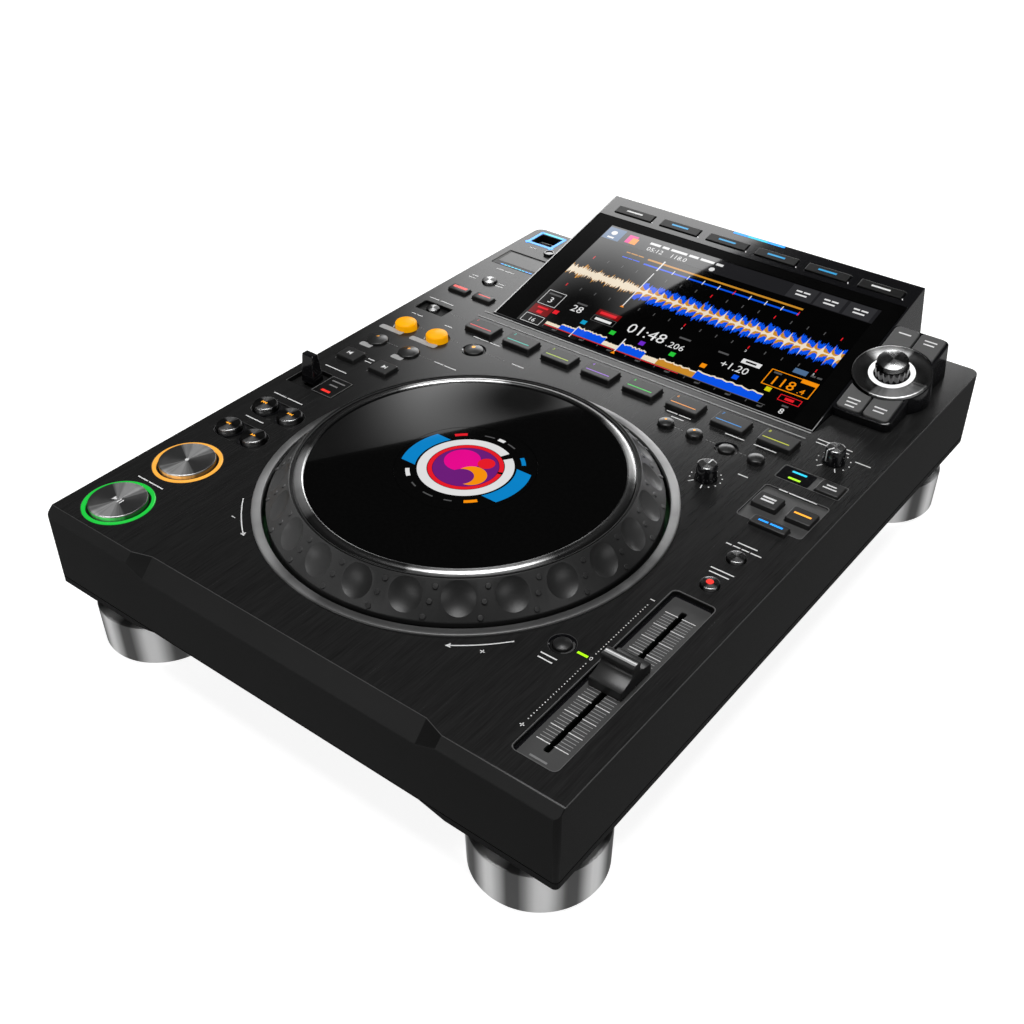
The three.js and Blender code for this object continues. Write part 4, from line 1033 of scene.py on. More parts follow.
# Trim knobs: two small gloss black knobs with a skirt and a lathe-cut top, on shafts through the deck.
# A white line on each points to the scale printed round it.
knob_dials = (("jog_weight_knob", 88, -126.7, 308.8, 13, 8.6), ("brake_speed_knob", -118, -120, 300, 11, 9.0))
knob_section = [
    (0, -9), (3, -9), (3, 0.3), (6.2, 0.3), (6.2, 1.2), (5.9, 1.6), (5.7, 1.6), (5.6, 8.2), (5.3, 8.7),
    (4.9, 8.8), (4.9, 8.4), (0, 8.4),
]
knob_scale = Marks(deck)
for node, pointer, first, sweep, count, reach in knob_dials:
    body = turned(knob_section, 64)
    lid = turned([(0, 8), (4.8, 8), (4.8, 8.8), (4.5, 9), (0, 9)], 64)
    marks = Marks(9)
    angle = math.radians(pointer)
    marks.bar(white_ink, 3.0 * math.cos(angle), 3.0 * math.sin(angle), 3.9, 0.8, angle)
    line = block((5.3, -0.4, 1.9), (5.78, 0.4, 8.7))
    poured(rotated(line, angle, "Z"), marks.sheet(white_ink))
    control(node, marks.parts((body, gloss_finish), (lid, black_chrome(node))))
    turns = [math.radians(first - sweep * i / (count - 1)) for i in range(count)]
    for turn, place in zip(turns, ring_points(*middle(node), reach, turns)):
        if turn in (turns[0], turns[-1]):
            knob_scale.bar(white_ink, *place, 3.2, 0.5, turn)
        else:
            knob_scale.disc(white_ink, *place, 0.42, 8)
finished("knob_scales", knob_scale.parts(), "case")


# Card door and media port: a flap with a barrel hinge over the card slot, and a port in a lit frame.
# The flap is a grey panel set in black plastic. Small lamps shine along its front edge.
panel_finish = moulding("door_grey_panel", 0.03, 0.4)
cyan_light = lit("cyan_light", (0.0, 0.5, 0.75), 1.4)
door_width, door_depth, hinge_radius = 35.4, 21, 1
door_slab = moved(stacked(door_width, door_depth - 1, 0.5, [(-2.2, 0), (-0.4, 0), (-0.2, -0.2)]), 0, -0.5)
half_door = door_width / 2
barrel_section = [(0, -half_door), (hinge_radius, -half_door), (hinge_radius, half_door), (0, half_door)]
door_barrel = rotated(turned(barrel_section, 24), math.pi / 2, "Y")
door_shape = joined(door_slab, moved(door_barrel, 0, door_depth / 2 - hinge_radius, -1.2))
door_panel = moved(stacked(33.2, 15.2, 0.5, [(-0.6, 0), (-0.25, 0), (-0.05, -0.2)]), 1.0, 1.2)
face = Marks(-0.2)
for i in range(9):
    light = blue_light if i in (0, 7, 8) else cyan_light
    face.bar(light, -9.6 + 3 * i, -9.3, 2.3, 0.9)
control("card_door", face.parts((door_shape, window_finish), (door_panel, panel_finish)))
port_frame = Marks(deck)
port_frame.frame(blue_light, port_x, port_y, 21.8, 19.4, 1.2, 2.1, 0.12)
port_frame.bar(cyan_light, port_x, port_y + 8.65, 15, 2.1, 0, 0.14)
for side in (-1, 1):
    port_frame.bar(blue_light, port_x + side * 9.9, port_y - 8.7, 3.4, 3.4, math.pi / 4, 0.16)
    port_frame.bar(blue_light, port_x + side * 9.9, port_y + 1, 1.7, 10, 0, 0.16)
finished("port_light", port_frame.parts(), "case")
metal_finish = cloudy("socket_bright_tin", 300, 0.45, 0.65, Metallic=1.0, Roughness=0.3)
port_shell = stacked(14.4, 6.4, 0.6, [(deck - 12, 0), (deck - 4, 0), (deck - 4, -0.5), (deck - 11, -0.5)])
port_tongue = stacked(11.6, 1.8, 0.2, [(deck - 12, 0), (deck - 4.4, 0)])
port_parts = [
    (moved(port_shell, port_x, port_y), metal_finish), (moved(port_tongue, port_x, port_y), panel_finish),
]
finished("port_socket", port_parts, "case")
stud = turned([(0, -0.5), (4, -0.5), (4, 1.2), (3.4, 1.8), (2.8, 1.8), (2.6, 1.2), (0, 1.2)], 48)
finished("port_lamp_stud", [(moved(stud, -132.8, 167.9, deck), gloss_finish)], "case")


# Jog trim ring: satin aluminium pressed into the deck round the wheel.
# It is turned on a lathe, and fans of painted highlight round the wheel's middle lie in its colour.
ring_finish = Finish("trim_satin_aluminium", Metallic=0.5, Anisotropic=0.5)
ring_marks = ring_finish.noise((260, 260, 10), 3)
# Painted highlight: the ring's colour is lighter in fans round the wheel's middle.
painted_ring_fans = ring_finish.mixed(ring_finish.fans((jog_x, jog_y), 45), grey(0.085), grey(0.38))
ring_finish.set(Base_Color=painted_ring_fans, Roughness=0.34 + 0.1 * ring_marks)
trim_section = [
    (106.2, 0), (111.3, 0), (111.3, 1.0), (111.0, 1.4), (110.5, 1.6), (106.9, 1.6), (106.4, 1.4),
    (106.2, 1.1),
]
jog_place = over_deck("jog_wheel")
trim_ring = turned(trim_section, 240, True)
finished("jog_trim_ring", [(trim_ring, ring_finish)], "case", ["jog_trim_ring"], jog_place)


# Jog wheel: a moulded skirt with finger dimples and small bumps, a polished rim and a gloss top.
# It turns on the boss of the bottom plate. Two rubber lips fill the groove under the rim.
skirt_finish = moulding("jog_skirt_charcoal", 0.02, 0.4, 1300)
# Painted sheen: the skirt's colour is lighter in fans round the wheel's middle, and turns with it.
painted_skirt_sheen = skirt_finish.fans((jog_x, jog_y), 50, 1, 0.4, 0.8)
skirt_finish.set(Base_Color=skirt_finish.mixed(painted_skirt_sheen, grey(0.018), grey(0.075)))
rim_finish = Finish("jog_rim_polished", Metallic=0.7, Anisotropic=0.5)
rim_marks = rim_finish.noise((60, 60, 900))
# Painted highlight: the rim's colour is lighter in fans round the wheel's middle.
painted_rim_fans = rim_finish.fans((jog_x, jog_y), 45, 2)
rim_finish.set(Base_Color=rim_finish.mixed(painted_rim_fans, grey(0.03), grey(0.62)), Roughness=0.2 + 0.1 * rim_marks)
jog_gloss = cloudy("jog_gloss_black", 500, 0.002, 0.004, Roughness=0.05, Coat_Weight=1.0, Coat_Roughness=0.02)
skirt_foot, skirt_top, slope_reach, slope_top = 103.7, 2.2, 90.4, 17.6
skirt = turned([
    (skirt_foot, -8), (skirt_foot, 1.9), (103.5, 2.4), (slope_reach + 0.3, slope_top - 0.2),
    (slope_reach, slope_top), (slope_reach - 0.3, slope_top - 0.3), (slope_reach - 0.3, 16.2),
    (87.6, 16.2), (87.6, 12.4), (12.3, 12.4), (12.3, 8.4), (88.4, 8.4), (101.7, -0.4), (101.7, -8),
], 192, True)
lean = math.atan2(slope_top - skirt_top, skirt_foot - slope_reach)
ball, dimple_depth, dimple_count = 18.2, 2.0, 24
dimple_turns = [math.radians(3.6 * i) for i in range(1, 11)]
dimple_section = [(0, -dimple_depth)]
dimple_section += [
    (ball * math.sin(turn), ball - dimple_depth - ball * math.cos(turn)) for turn in dimple_turns
]
dimple_section += [(dimple_section[-1][0], 4), (0, 4)]


def on_skirt(share):
    """A point on the skirt's slope, from its foot to its top"""
    return skirt_foot + (slope_reach - skirt_foot) * share, 0, skirt_top + (slope_top - skirt_top) * share


lay = Matrix.Rotation(math.pi / 2 - lean, 4, "Y")
dimples = []
bumps = []
for i in range(dimple_count):
    dimple = turned(dimple_section, 40)
    around = Matrix.Rotation(2 * math.pi * (i + 0.5) / dimple_count, 4, "Z")
    dimple.transform(around @ Matrix.Translation(on_skirt(0.44)) @ lay)
    dimples.append(dimple)
    for share, shift in ((0.1, -1.9), (0.46, -0.5), (0.81, 0.9)):
        bump = turned([(0, -0.6), (1.5, -0.6), (1.5, 0.25), (1.25, 0.55), (0.9, 0.6), (0, 0.5)], 16)
        around = Matrix.Rotation(2 * math.pi * i / dimple_count + math.radians(shift), 4, "Z")
        bump.transform(around @ Matrix.Translation(on_skirt(share)) @ lay)
        bumps.append(bump)
lips = [
    turned([(radius, 15.8), (radius + 0.7, 15.8), (radius + 0.6, height), (radius + 0.1, height)], 192, True)
    for radius, height in ((88.5, 17.3), (89.3, 16.9))
]
rim_turns = [math.pi / 2 * i / 12 for i in range(13)]
rim_section = [(88.3, 12.6), (88.3, 15.6)]
rim_section += [(84.6 + 3.7 * math.cos(turn), 15.6 + 2.7 * math.sin(turn)) for turn in rim_turns]
rim_section += [(83.8, 18.2), (83.2, 17.8), (83, 17.2), (83, 12.6)]
jog_top = turned([(37.2, 17.0), (82.9, 17.0), (82.9, 12.6), (37.2, 12.6)], 240, True)
jog_piece = control("jog_wheel", [
    (carved(skirt, dimples), skirt_finish), (joined(*bumps), skirt_finish), (joined(*lips), rubber),
    (turned(rim_section, 240, True), rim_finish), (jog_top, jog_gloss),
])
jog_sharp_angle = 0.28
jog_piece.data.set_sharp_from_angle(angle=jog_sharp_angle)


# Jog display: a round screen under gloss black glass on a fixed stem, in the middle of the wheel.
# It shows the turn as a gap in a white ring, round a small generic picture of soft discs.
def shown(name, colour):
    """A lit patch of a display, seen through the gloss of its glass"""
    finish = Finish(name, Roughness=0.05, Coat_Weight=0.4, Coat_Roughness=0.02, Emission_Strength=1.0)
    shine = finish.mixed(finish.noise(70), tint(colour, 0.88), tint(colour))
    finish.set(Base_Color=(0.004, 0.004, 0.005, 1), Emission_Color=shine)
    return finish


picture_white = shown("display_white", 0.8)
picture_grey = shown("display_grey", 0.09)
picture_black = cloudy("display_black", 90, 0.001, 0.002, Roughness=0.05, Coat_Weight=0.4)
picture_red = shown("display_red", (0.85, 0.01, 0.02))
picture_blue = shown("display_blue", (0.0, 0.24, 0.62))
picture_pink = shown("display_pink", (0.85, 0.0, 0.28))
picture_orange = shown("display_orange", (1.0, 0.3, 0.0))
picture_violet = shown("display_violet", (0.16, 0.01, 0.2))
display_top = 16.95
display_section = [(0, 8.1), (12, 8.1), (12, 12.7), (37, 12.7), (37, display_top), (0, display_top)]
face = Marks(display_top)
for side in (0, 180):
    outer_turns = [math.radians(side - 24.9 + 49.8 * i / 20) for i in range(21)]
    inner_turns = [math.radians(side + 33.1 - 66.2 * i / 20) for i in range(21)]
    bay = ring_points(0, 0, 34.5, outer_turns) + ring_points(0, 0, 26.4, inner_turns)
    face.outline(picture_blue, bay, 0.04)
face.arc(picture_white, 0, 0, 20.2, 25.2, 65, 415, 120)
face.arc(picture_red, 0, 0, 17.4, 19.8, 22.5, 377, 96)
face.disc(picture_violet, 0, 0, 17.2, 64, 0.04)
face.disc(picture_pink, -5.2, 3.6, 9.6, 48, 0.06)
face.disc(picture_orange, 7.2, -4.4, 8.2, 48, 0.08)
face.disc(picture_violet, 3.6, -8.0, 6.6, 48, 0.1)
face.disc(picture_red, 6.8, 8.6, 4.6, 32, 0.07)
for angle, length, finish in (
    (134, 13, picture_red), (46, 13, picture_blue), (-134, 13, picture_white), (-46, 13, picture_orange),
    (104, 11, picture_grey), (76, 11, picture_grey), (90, 8, picture_white), (-90, 12, picture_grey),
    (-112, 8, picture_grey), (-68, 8, picture_grey),
):
    inner, outer = (29.6, 30.4) if finish is picture_grey else (28.9, 31.1)
    face.arc(finish, 0, 0, inner, outer, angle - length / 2, angle + length / 2, 8)
display_parts = face.parts((turned(display_section, 128), jog_gloss))
finished("jog_display", display_parts, "case", ["jog_display"], jog_place)


# Screen housing: a wedge moulded in gloss black plastic that drops into the deck and over the
# back wall, with a block at its right for the selector. A pale strip along its left edge is a painted
# highlight.
tilt = math.radians(13.25)
slope = Matrix.Translation((screen_x, screen_low.y, deck + 0.5)) @ Matrix.Rotation(tilt, 4, "X")
screen_length, rear_face, screen_sink = 141.0, 46.2, 8


def slope_point(up, out):
    point = slope @ Vector((0, up, out))
    return point.y, point.z


def laid(shape, across=0, up=0):
    """Lays a shape made flat onto the slope of the screen"""
    shape.transform(slope @ Matrix.Translation((across, up, 0)))
    return shape


housing_finish = moulding("housing_gloss_black", (0.007, 0.007, 0.008), 0.14, 900, 0.000005, 0.3)
behind_case = rear_y + fit
rear_low = slope_point(screen_length, -rear_face)
wedge = along_x([
    (screen_low.y, deck - screen_sink), (behind_case, deck - screen_sink), (behind_case, rear_low[1]),
    rear_low, slope_point(screen_length, 0), slope_point(0, 0),
], 2 * screen_half)
wedge = rounded(moved(wedge, screen_x, 0), sharp_edges(wedge), 0.5, 2)
selector_u, selector_s, keys_middle = 130.2, 62.2, 62.5
selector_ring_radius, block_radius = 22.5, 22.9
block_left, block_right, block_front, block_back = 111, 147.6, 22.6, 102.4
block_levels = [(-rear_face, 0), (-0.6, 0), (-0.2, -0.2), (0, -0.6)]
block_body = stacked(block_right - block_left, block_back - block_front, 4.5, block_levels, 6)
moved(block_body, (block_left + block_right) / 2, (block_front + block_back) / 2)
block_round = turned([
    (0, -rear_face), (block_radius, -rear_face), (block_radius, -0.5), (block_radius - 0.4, -0.1), (0, -0.1),
], 96)
block_body = laid(carved(block_body, [moved(block_round, selector_u, selector_s)], "UNION"))
under_deck = block((-200, -300, 0), (200, 300, deck + fit))
block_body = carved(block_body, [under_deck])
housing = carved(wedge, [block_body], "UNION")
strip_places = [(1 + (i - 2.5) * 36, 128.1) for i in range(6)]
strip_width, strip_depth = 29, 7.4
selector_key_width, selector_key_length, selector_gap = 14.9, 37.9, 1.2
key_corners = {
    "selector_key_front_left": (-1, -1), "selector_key_front_right": (1, -1),
    "selector_key_rear_left": (-1, 1), "selector_key_rear_right": (1, 1),
}


def key_middle_u(side):
    return selector_u + side * (selector_key_width + selector_gap) / 2


def selector_key(side, end, low, growth, levels, notch):
    """A key beside the selector: a rounded rectangle whose inner corner follows the ring"""
    shape = stacked(selector_key_width + 2 * growth, selector_key_length + 2 * growth, 2.6, levels, 6)
    moved(shape, key_middle_u(side), keys_middle + end * (selector_key_length + selector_gap) / 2)
    round_notch = turned([(0, low - 1), (notch, low - 1), (notch, 6), (0, 6)], 96)
    return carved(shape, [moved(round_notch, selector_u, selector_s)])


mouth = [(-0.2, 0), (0, 0.2), (over, 0.2)]
glass_width, glass_depth, glass_middle = 224, 117.7, 60.35
glass_bed = stacked(glass_width + 0.6, glass_depth + 0.6, 0.8, [(-1.5, 0)] + mouth)
housing_cuts = [laid(glass_bed, 0, glass_middle)]
housing_cuts += [
    laid(stacked(strip_width + 0.6, strip_depth + 0.6, 0.7, [(-8, 0)] + mouth), u, s)
    for u, s in strip_places
]
housing_cuts += [
    laid(selector_key(side, end, -8, fit, [(-8, 0), (over, 0)], selector_ring_radius + 0.9))
    for side, end in key_corners.values()
]
housing_cuts.append(laid(turned([(0, -8), (3.3, -8), (3.3, over), (0, over)], 32), selector_u, selector_s))
housing = [(carved(housing, housing_cuts), housing_finish)]
finished("screen_housing", housing, "case", ["screen_housing"])
# A pale strip along the housing's left edge: a painted highlight.
edge_highlight_strip = laid(block((-0.4, 0.6, -0.5), (0.4, 140.4, 0.08)), -112.95)
edge_highlight_finish = moulding("edge_painted_highlight", 0.6, 0.3, 900, 0.000006)
finished("screen_edge_highlight", [(edge_highlight_strip, edge_highlight_finish)], "case")


# Screen glass: one sheet of black-backed glass, glued into its bed, under thin sheets of lit picture.
# The picture is generic: a wave of sound, an overview, counters, bars and coloured dots.
glass_finish = cloudy("screen_black_border", 60, 0.0015, 0.003, Roughness=0.2, Specular_IOR_Level=0.012)
glass = stacked(glass_width, glass_depth, 0.6, [(-1.2, 0), (-0.2, 0), (0, -0.2)])
glass = laid(glass, 0, glass_middle)
finished("screen_glass", [(glass, glass_finish)], "case", ["screen_glass"])
picture_cream = shown("picture_cream", (0.9, 0.78, 0.6))
picture_amber = shown("picture_amber", (0.62, 0.27, 0.02))
picture_bright_blue = shown("picture_bright_blue", (0.0, 0.09, 0.85))
picture_sky = shown("picture_sky", (0.08, 0.16, 0.3))
picture_header = shown("picture_header", (0.012, 0.012, 0.013))
picture_key = shown("picture_key", (0.028, 0.028, 0.03))
picture_dark_red = shown("picture_dark_red", (0.2, 0.0, 0.0))
picture = Marks(0)


def panel(finish, left, right, low, high, lift=0.03):
    picture.bar(finish, (left + right) / 2, (low + high) / 2, right - left, high - low, 0, lift)


def tick(finish, across, half, low, high, lift=0.05):
    """An upright bar from a low to a high point, half its width on either side"""
    panel(finish, across - half, across + half, low, high, lift)


def boxed(finish, left, right, low, high, line=0.35):
    picture.frame(finish, (left + right) / 2, (low + high) / 2, right - left, high - low, 0.3, line, 0.05)


def words(finish, left, y, widths, height=1.6, lift=0.06):
    """A row of plain bars where a line of words would stand"""
    for width in widths:
        picture.bar(finish, left + width / 2, y, width, height, 0, lift)
        left += width + height * 0.75


panel(picture_black, -96.3, 100.3, 2, 111, 0.01)
panel(picture_header, -96.3, 100.3, 96.4, 110)
panel(picture_sky, -96, -83, 97.2, 109.4, 0.05)
picture.disc(picture_white, -90, 104.4, 2.2, 20, 0.07)
words(picture_white, -92.5, 99.4, (5,), 1.6, 0.07)
panel(picture_pink, -79, -72, 99, 107.4, 0.05)
panel(picture_orange, -75.5, -70.6, 99, 105.2, 0.06)
words(picture_white, -62, 105.4, (8, 5, 12, 7, 10, 5), 2.2)
picture.figures(picture_white, "05:12", -55, 99.7, 5.6, 0.06)
picture.figures(picture_white, "118.0", -37, 99.7, 5.6, 0.06)
picture.disc(picture_white, -11.6, 99.4, 2.0, 8, 0.06)
for left in (42, 61, 80.6):
    panel(picture_key, left, left + 17.4, 97, 109.6, 0.05)
    words(picture_white, left + 4.2, 104.6, (4, 4.4), 1.3, 0.07)
    words(picture_white, left + 5, 101.4, (7.6,), 1.3, 0.07)
panel(picture_amber, -54, 58.5, 89.2, 90.8, 0.04)
panel(picture_bright_blue, -54, 58.5, 84.2, 85.6, 0.04)
words(picture_amber, -71, 90.6, (3, 5, 4), 0.9)
words(picture_bright_blue, -71, 85.4, (4, 3, 5), 0.9)
playhead, beat, tick_half = -42.5, 11.18, 0.3
for i in range(-1, 9):
    tone = picture_red if i in (4, 8) else picture_white
    tick(tone, playhead + beat * (i + 0.98), tick_half, 83.4, 87.4, 0.06)
for i in range(-4, 13):
    tone = picture_red if i % 4 == 0 else picture_grey
    across = playhead + beat * i
    tick(tone, across, tick_half, 74.8, 77.6)
    tick(tone, across, tick_half, 43.6, 46.2)
    if i % 4 == 0 and i > 0:
        picture.figures(picture_white, str(i // 4), across, 41.4, 2.6)

wave_left, wave_width, wave_middle, wave_step = -96, 196, 60.5, 0.42
noise = random.Random(11)
wave = {picture_bright_blue: [], picture_amber: [], picture_cream: []}
for i in range(int(wave_width / wave_step)):
    across = wave_left + i * wave_step
    phase = ((across - playhead) / beat) % 1
    flutter = noise.uniform(0.62, 1.0)
    if across < playhead:
        swell = 0.62 + 0.38 * math.exp(-7 * phase)
        blue, amber = 0.2, (10.2 * swell - 1.2 * phase) * (1.8 * flutter - 0.8)
        cream = min(amber * 0.92, 6.4 * noise.uniform(0.4, 1.0) + 8 * math.exp(-24 * abs(phase - 0.5)))
    else:
        half = (phase * 2) % 1
        blue = (11.2 - 2.6 * phase - 1.8 * half) * flutter
        amber = (1.6 + 8.4 * math.exp(-6.5 * phase) + 3.4 * math.exp(-30 * (phase - 0.62) ** 2)) * flutter
        cream = (0.7 + 9.4 * math.exp(-22 * abs(phase - 0.5)) + 3.2 * math.exp(-12 * phase)) * flutter
    wave[picture_bright_blue].append((across, blue))
    wave[picture_amber].append((across, amber))
    wave[picture_cream].append((across, cream))
for level, (finish, heights) in enumerate(wave.items()):
    rim_points = [(across, wave_middle + height) for across, height in heights]
    rim_points += [(across, wave_middle - height) for across, height in reversed(heights)]
    picture.outline(finish, rim_points, 0.03 + 0.015 * level)
tick(picture_white, playhead, 0.35, 43, 79.4, 0.09)
tick(picture_white, playhead, 0.5, 82.4, 93, 0.09)
picture.triangle(picture_orange, playhead, 42.6, 1.6, math.pi / 2, 0.09)
panel(picture_sky, 80, 88.6, 37.8, 42)
words(picture_grey, 91, 39.8, (3, 3), 1.4)
boxed(picture_white, -94, -80.4, 21.4, 35.8)
panel(picture_dark_red, -94.2, -79.8, 11.6, 20.4)
boxed(picture_white, -94.2, -79.8, 2.6, 10.6)
panel(picture_dark_red, -53.6, -36.8, 28.8, 34.2)
boxed(picture_grey, -53.6, -36.8, 22.6, 28.2)
panel(picture_white, 49.4, 62, 31.2, 35.2)
words(picture_black, 52, 33.2, (7,), 1.4, 0.08)
boxed(picture_orange, 68.6, 99, 21.2, 35.2, 0.6)
panel(picture_orange, 88.6, 99, 32, 35.4, 0.06)
boxed(picture_red, 83.6, 97.4, 13.4, 18.6, 0.45)
for figures, x, y, size in (
    ("3", -87, 26.8, 7.5), ("16", -87, 5.8, 5.2), ("28", -66.6, 27, 8.6), ("01:48", -14.2, 27.2, 12.4),
    (".206", 7.6, 25.4, 7.2), ("+1.20", 48.6, 25.2, 8.2), ("8", 90.6, 5.8, 6.2),
):
    picture.figures(picture_white, figures, x, y, size)
picture.figures(picture_orange, "118", 80, 26.4, 10.8, 0.06)
picture.figures(picture_orange, ".4", 92.6, 25, 6.2, 0.06)
for finish, left, y, width, height in (
    (picture_grey, -92, 32.6, 9.4, 1.5), (picture_grey, -70, 32.6, 7.6, 1.5), (picture_grey, 5.4, 34, 8, 1.4),
    (picture_grey, 33, 33.6, 7, 1.4), (picture_grey, 71, 33, 5, 1.4), (picture_grey, 88.6, 10.4, 4, 1.3),
    (picture_red, -91, 18.2, 8, 1.6), (picture_red, -89, 14.2, 4, 2.6), (picture_red, -51.4, 31.5, 12, 2.4),
    (picture_red, 87.4, 16, 5.6, 2), (picture_white, -51.4, 25.4, 12, 2.2),
):
    words(finish, left, y, (width,), height)
picture_cyan = shown("picture_cyan", (0.0, 0.35, 0.6))
picture_green = shown("picture_green", (0.02, 0.6, 0.04))
picture_deep_violet = shown("picture_deep_violet", (0.16, 0.02, 0.62))
picture_yellow = shown("picture_yellow", (0.7, 0.66, 0.0))
dots = (picture_red, picture_cyan, picture_green, picture_deep_violet, picture_green, picture_orange,
        picture_bright_blue, picture_yellow)
for i, finish in enumerate(dots):
    tick(finish, -77.2 + 21.75 * i, 1.8, 16.8, 20.4)
overview_left, overview_low, minute = -77, 6.4, 10.4
overview_plan = (
    (overview_left, 1.6, 0), (-66.5, 4.0, 1), (-56, 6.3, 1), (-34, 2.6, 0), (-23, 6.4, 1), (-5, 3.2, 0),
    (5, 5.2, 2), (31, 6.4, 1), (75, 0.4, 0),
)
for (left, height, kind), next_stretch in zip(overview_plan, overview_plan[1:]):
    right = next_stretch[0]
    steps = [left + (right - left) * i / 24 for i in range(25)]
    tops = [height * noise.uniform(0.86, 1.1) + 0.5 for across in steps]
    layers = [(picture_cream, 0.5, 0.03)]
    if kind:
        layers.append((picture_bright_blue if kind == 1 else picture_amber, -0.6, 0.05))
    for finish, growth, lift in layers:
        rim_points = [(across, overview_low + top + growth) for across, top in zip(steps, tops)]
        picture.outline(finish, [(right, overview_low), *rim_points[::-1], (left, overview_low)], lift)
panel(picture_grey, overview_left, 80, 5.9, overview_low, 0.05)
panel(picture_red, overview_left, 22, 5.4, 5.9, 0.05)
for i in range(16):
    tick(picture_grey, overview_left + minute * i, 0.25, 3.6, 5.4)
    if i % 2 == 1:
        words(picture_grey, overview_left - 3 + minute * i, 3.8, (2.6,), 1.2)
tick(picture_white, -23, 0.4, 5, 17.4, 0.09)
tick(picture_white, -55.9, 0.3, 3, 13.4, 0.07)
picture.triangle(picture_orange, -23, 3.4, 1.7, math.pi / 2, 0.07)
finished("screen_picture", picture.parts(), "case", place=slope)


# Key strip: six caps on one thin moulding at the back of the housing, which flexes under each cap.
# Their signs are lit in blue or white, and a row of lamps shines along the back edge.
strip_caps = [
    moved(stacked(strip_width, strip_depth, 0.6, [(-3.4, 0), (0.5, 0), (0.7, -0.15), (0.8, -0.4)]), u, s)
    for u, s in strip_places
]
strip_web = block((-103.5, 122.9, -4.2), (105.5, 133.3, -3.2))
sign_blue = lit("key_sign_blue_light", (0.0, 0.3, 0.62), 1.0)
face = Marks(0.8)
for i, (u, s) in enumerate(strip_places):
    light = white_ink if i in (0, 5) else sign_blue
    face.bar(light, u - 0.4, s + 0.2, 12.4, 1.5)
strip_parts = face.parts((joined(*strip_caps, strip_web), window_finish))
finished("screen_key_strip", strip_parts, "case", ["screen_key_strip"], slope)
lamp_and_highlight_marks = Marks(0)
for left, right, light in ((-19, -8, blue_light), (-8, 6, cyan_light), (6, 18.6, blue_light)):
    lamp_and_highlight_marks.bar(light, (left + right) / 2, 139.3, right - left, 1.7, lift=0.1)
# White ticks at each cap's front right corner: painted highlights of the corners.
for u, s in strip_places:
    lamp_and_highlight_marks.bar(white_ink, u + 15.4, s - 3.4, 0.6, 1.5, 0.5)
finished("screen_lamps_and_highlights", lamp_and_highlight_marks.parts(), "case", place=slope)


# Selector: a fluted knob in a black chrome ring with a lit white line, and four keys round it.
# The ring is turned and snaps onto the block; the knob turns and its keys press square to the slope.
selector_place = slope @ Matrix.Translation((selector_u, selector_s, 0))
# The ring's black chrome carries painted fans of highlight in its colour.
ring_chrome = spun("selector_ring_black_chrome", middle("selector_ring"), 0.004, 0.5, 0.24, metal=0.6)
ring_disc = turned([
    (13.2, 0.3), (22.5, 0.3), (22.5, 1.6), (22.3, 2.0), (21.8, 2.2), (21.0, 2.15), (13.6, 1.4), (13.2, 1.2),
], 128, True)
white_light = lit("selector_white_light", (0.9, 0.9, 0.9), 1.1)
ring_light = turned([(10.4, 0.3), (13.2, 0.3), (13.2, 1.3), (12.8, 1.5), (10.6, 1.4), (10.4, 1.2)], 96, True)
ring_parts = [(ring_disc, ring_chrome), (ring_light, white_light)]
finished("selector_ring", ring_parts, "case", ["selector_ring"], selector_place)
flutes = 16
flute_points = []
for i in range(flutes * 8):
    turn = 2 * math.pi * i / (flutes * 8)
    reach = 9.5 - 0.7 * (0.5 - 0.5 * math.cos(flutes * turn)) ** 2
    flute_points.append((reach * math.cos(turn), reach * math.sin(turn), 0.6))
fluted = bmesh.new()
bottom = fluted.faces.new([fluted.verts.new(point) for point in flute_points])
raised = bmesh.ops.extrude_face_region(fluted, geom=[bottom])["geom"]
bmesh.ops.translate(fluted, vec=(0, 0, 6.6), verts=points_of(raised))
knob_neck = turned([(0, -5), (3, -5), (3, 0.5), (8.2, 0.5), (8.2, 8.2), (0, 8.2)], 64)
knob_lid = turned([(0, 7.8), (8.9, 7.8), (8.9, 10.2), (8.7, 10.7), (8.2, 11), (0, 11)], 96)
knob_parts = [(fluted, gloss_finish), (knob_neck, gloss_finish), (knob_lid, black_chrome("selector_knob"))]
control("selector_knob", knob_parts, selector_place)
selector_grey = moulding("selector_key_grey", 0.075, 0.4, 1400, 0.000012)
selector_rows = {"selector_key_front_left": 3, "selector_key_rear_left": 1}
selector_levels = [(-3.6, 0), (0.8, 0), (1.05, -0.15), (1.2, -0.4)]
for node, (side, end) in key_corners.items():
    cap = selector_key(side, end, -4, 0, selector_levels, selector_ring_radius + 1.2)
    face = Marks(1.2)
    for row in range(selector_rows.get(node, 2)):
        row_s = keys_middle + end * 33 - 3.0 * row + (3 if end < 0 else 0)
        face.bar(white_ink, key_middle_u(side), row_s, 7.6 - row, 1.0)
    control(node, face.parts((cap, selector_grey)), place=slope)


# Deck print: lines, dashes, arrows and the tempo scale, screen-printed in white and grey.
# Two raised ribs before the screen and thin frames round the groups of keys are grey as well.
deck_print = Marks(deck)


def dashes(left, right, y, count):
    step = (right - left) / count
    for i in range(count):
        deck_print.bar(grey_ink, left + step * (i + 0.5), y, step * 0.6, 0.4)


def legend(x, y, widths):
    """A row of short plain bars where the real deck has words"""
    gap = 0.9
    left = x - (sum(widths) + (len(widths) - 1) * gap) / 2
    for width in widths:
        deck_print.bar(white_ink, left + width / 2, y, width, 0.75)
        left += width + gap


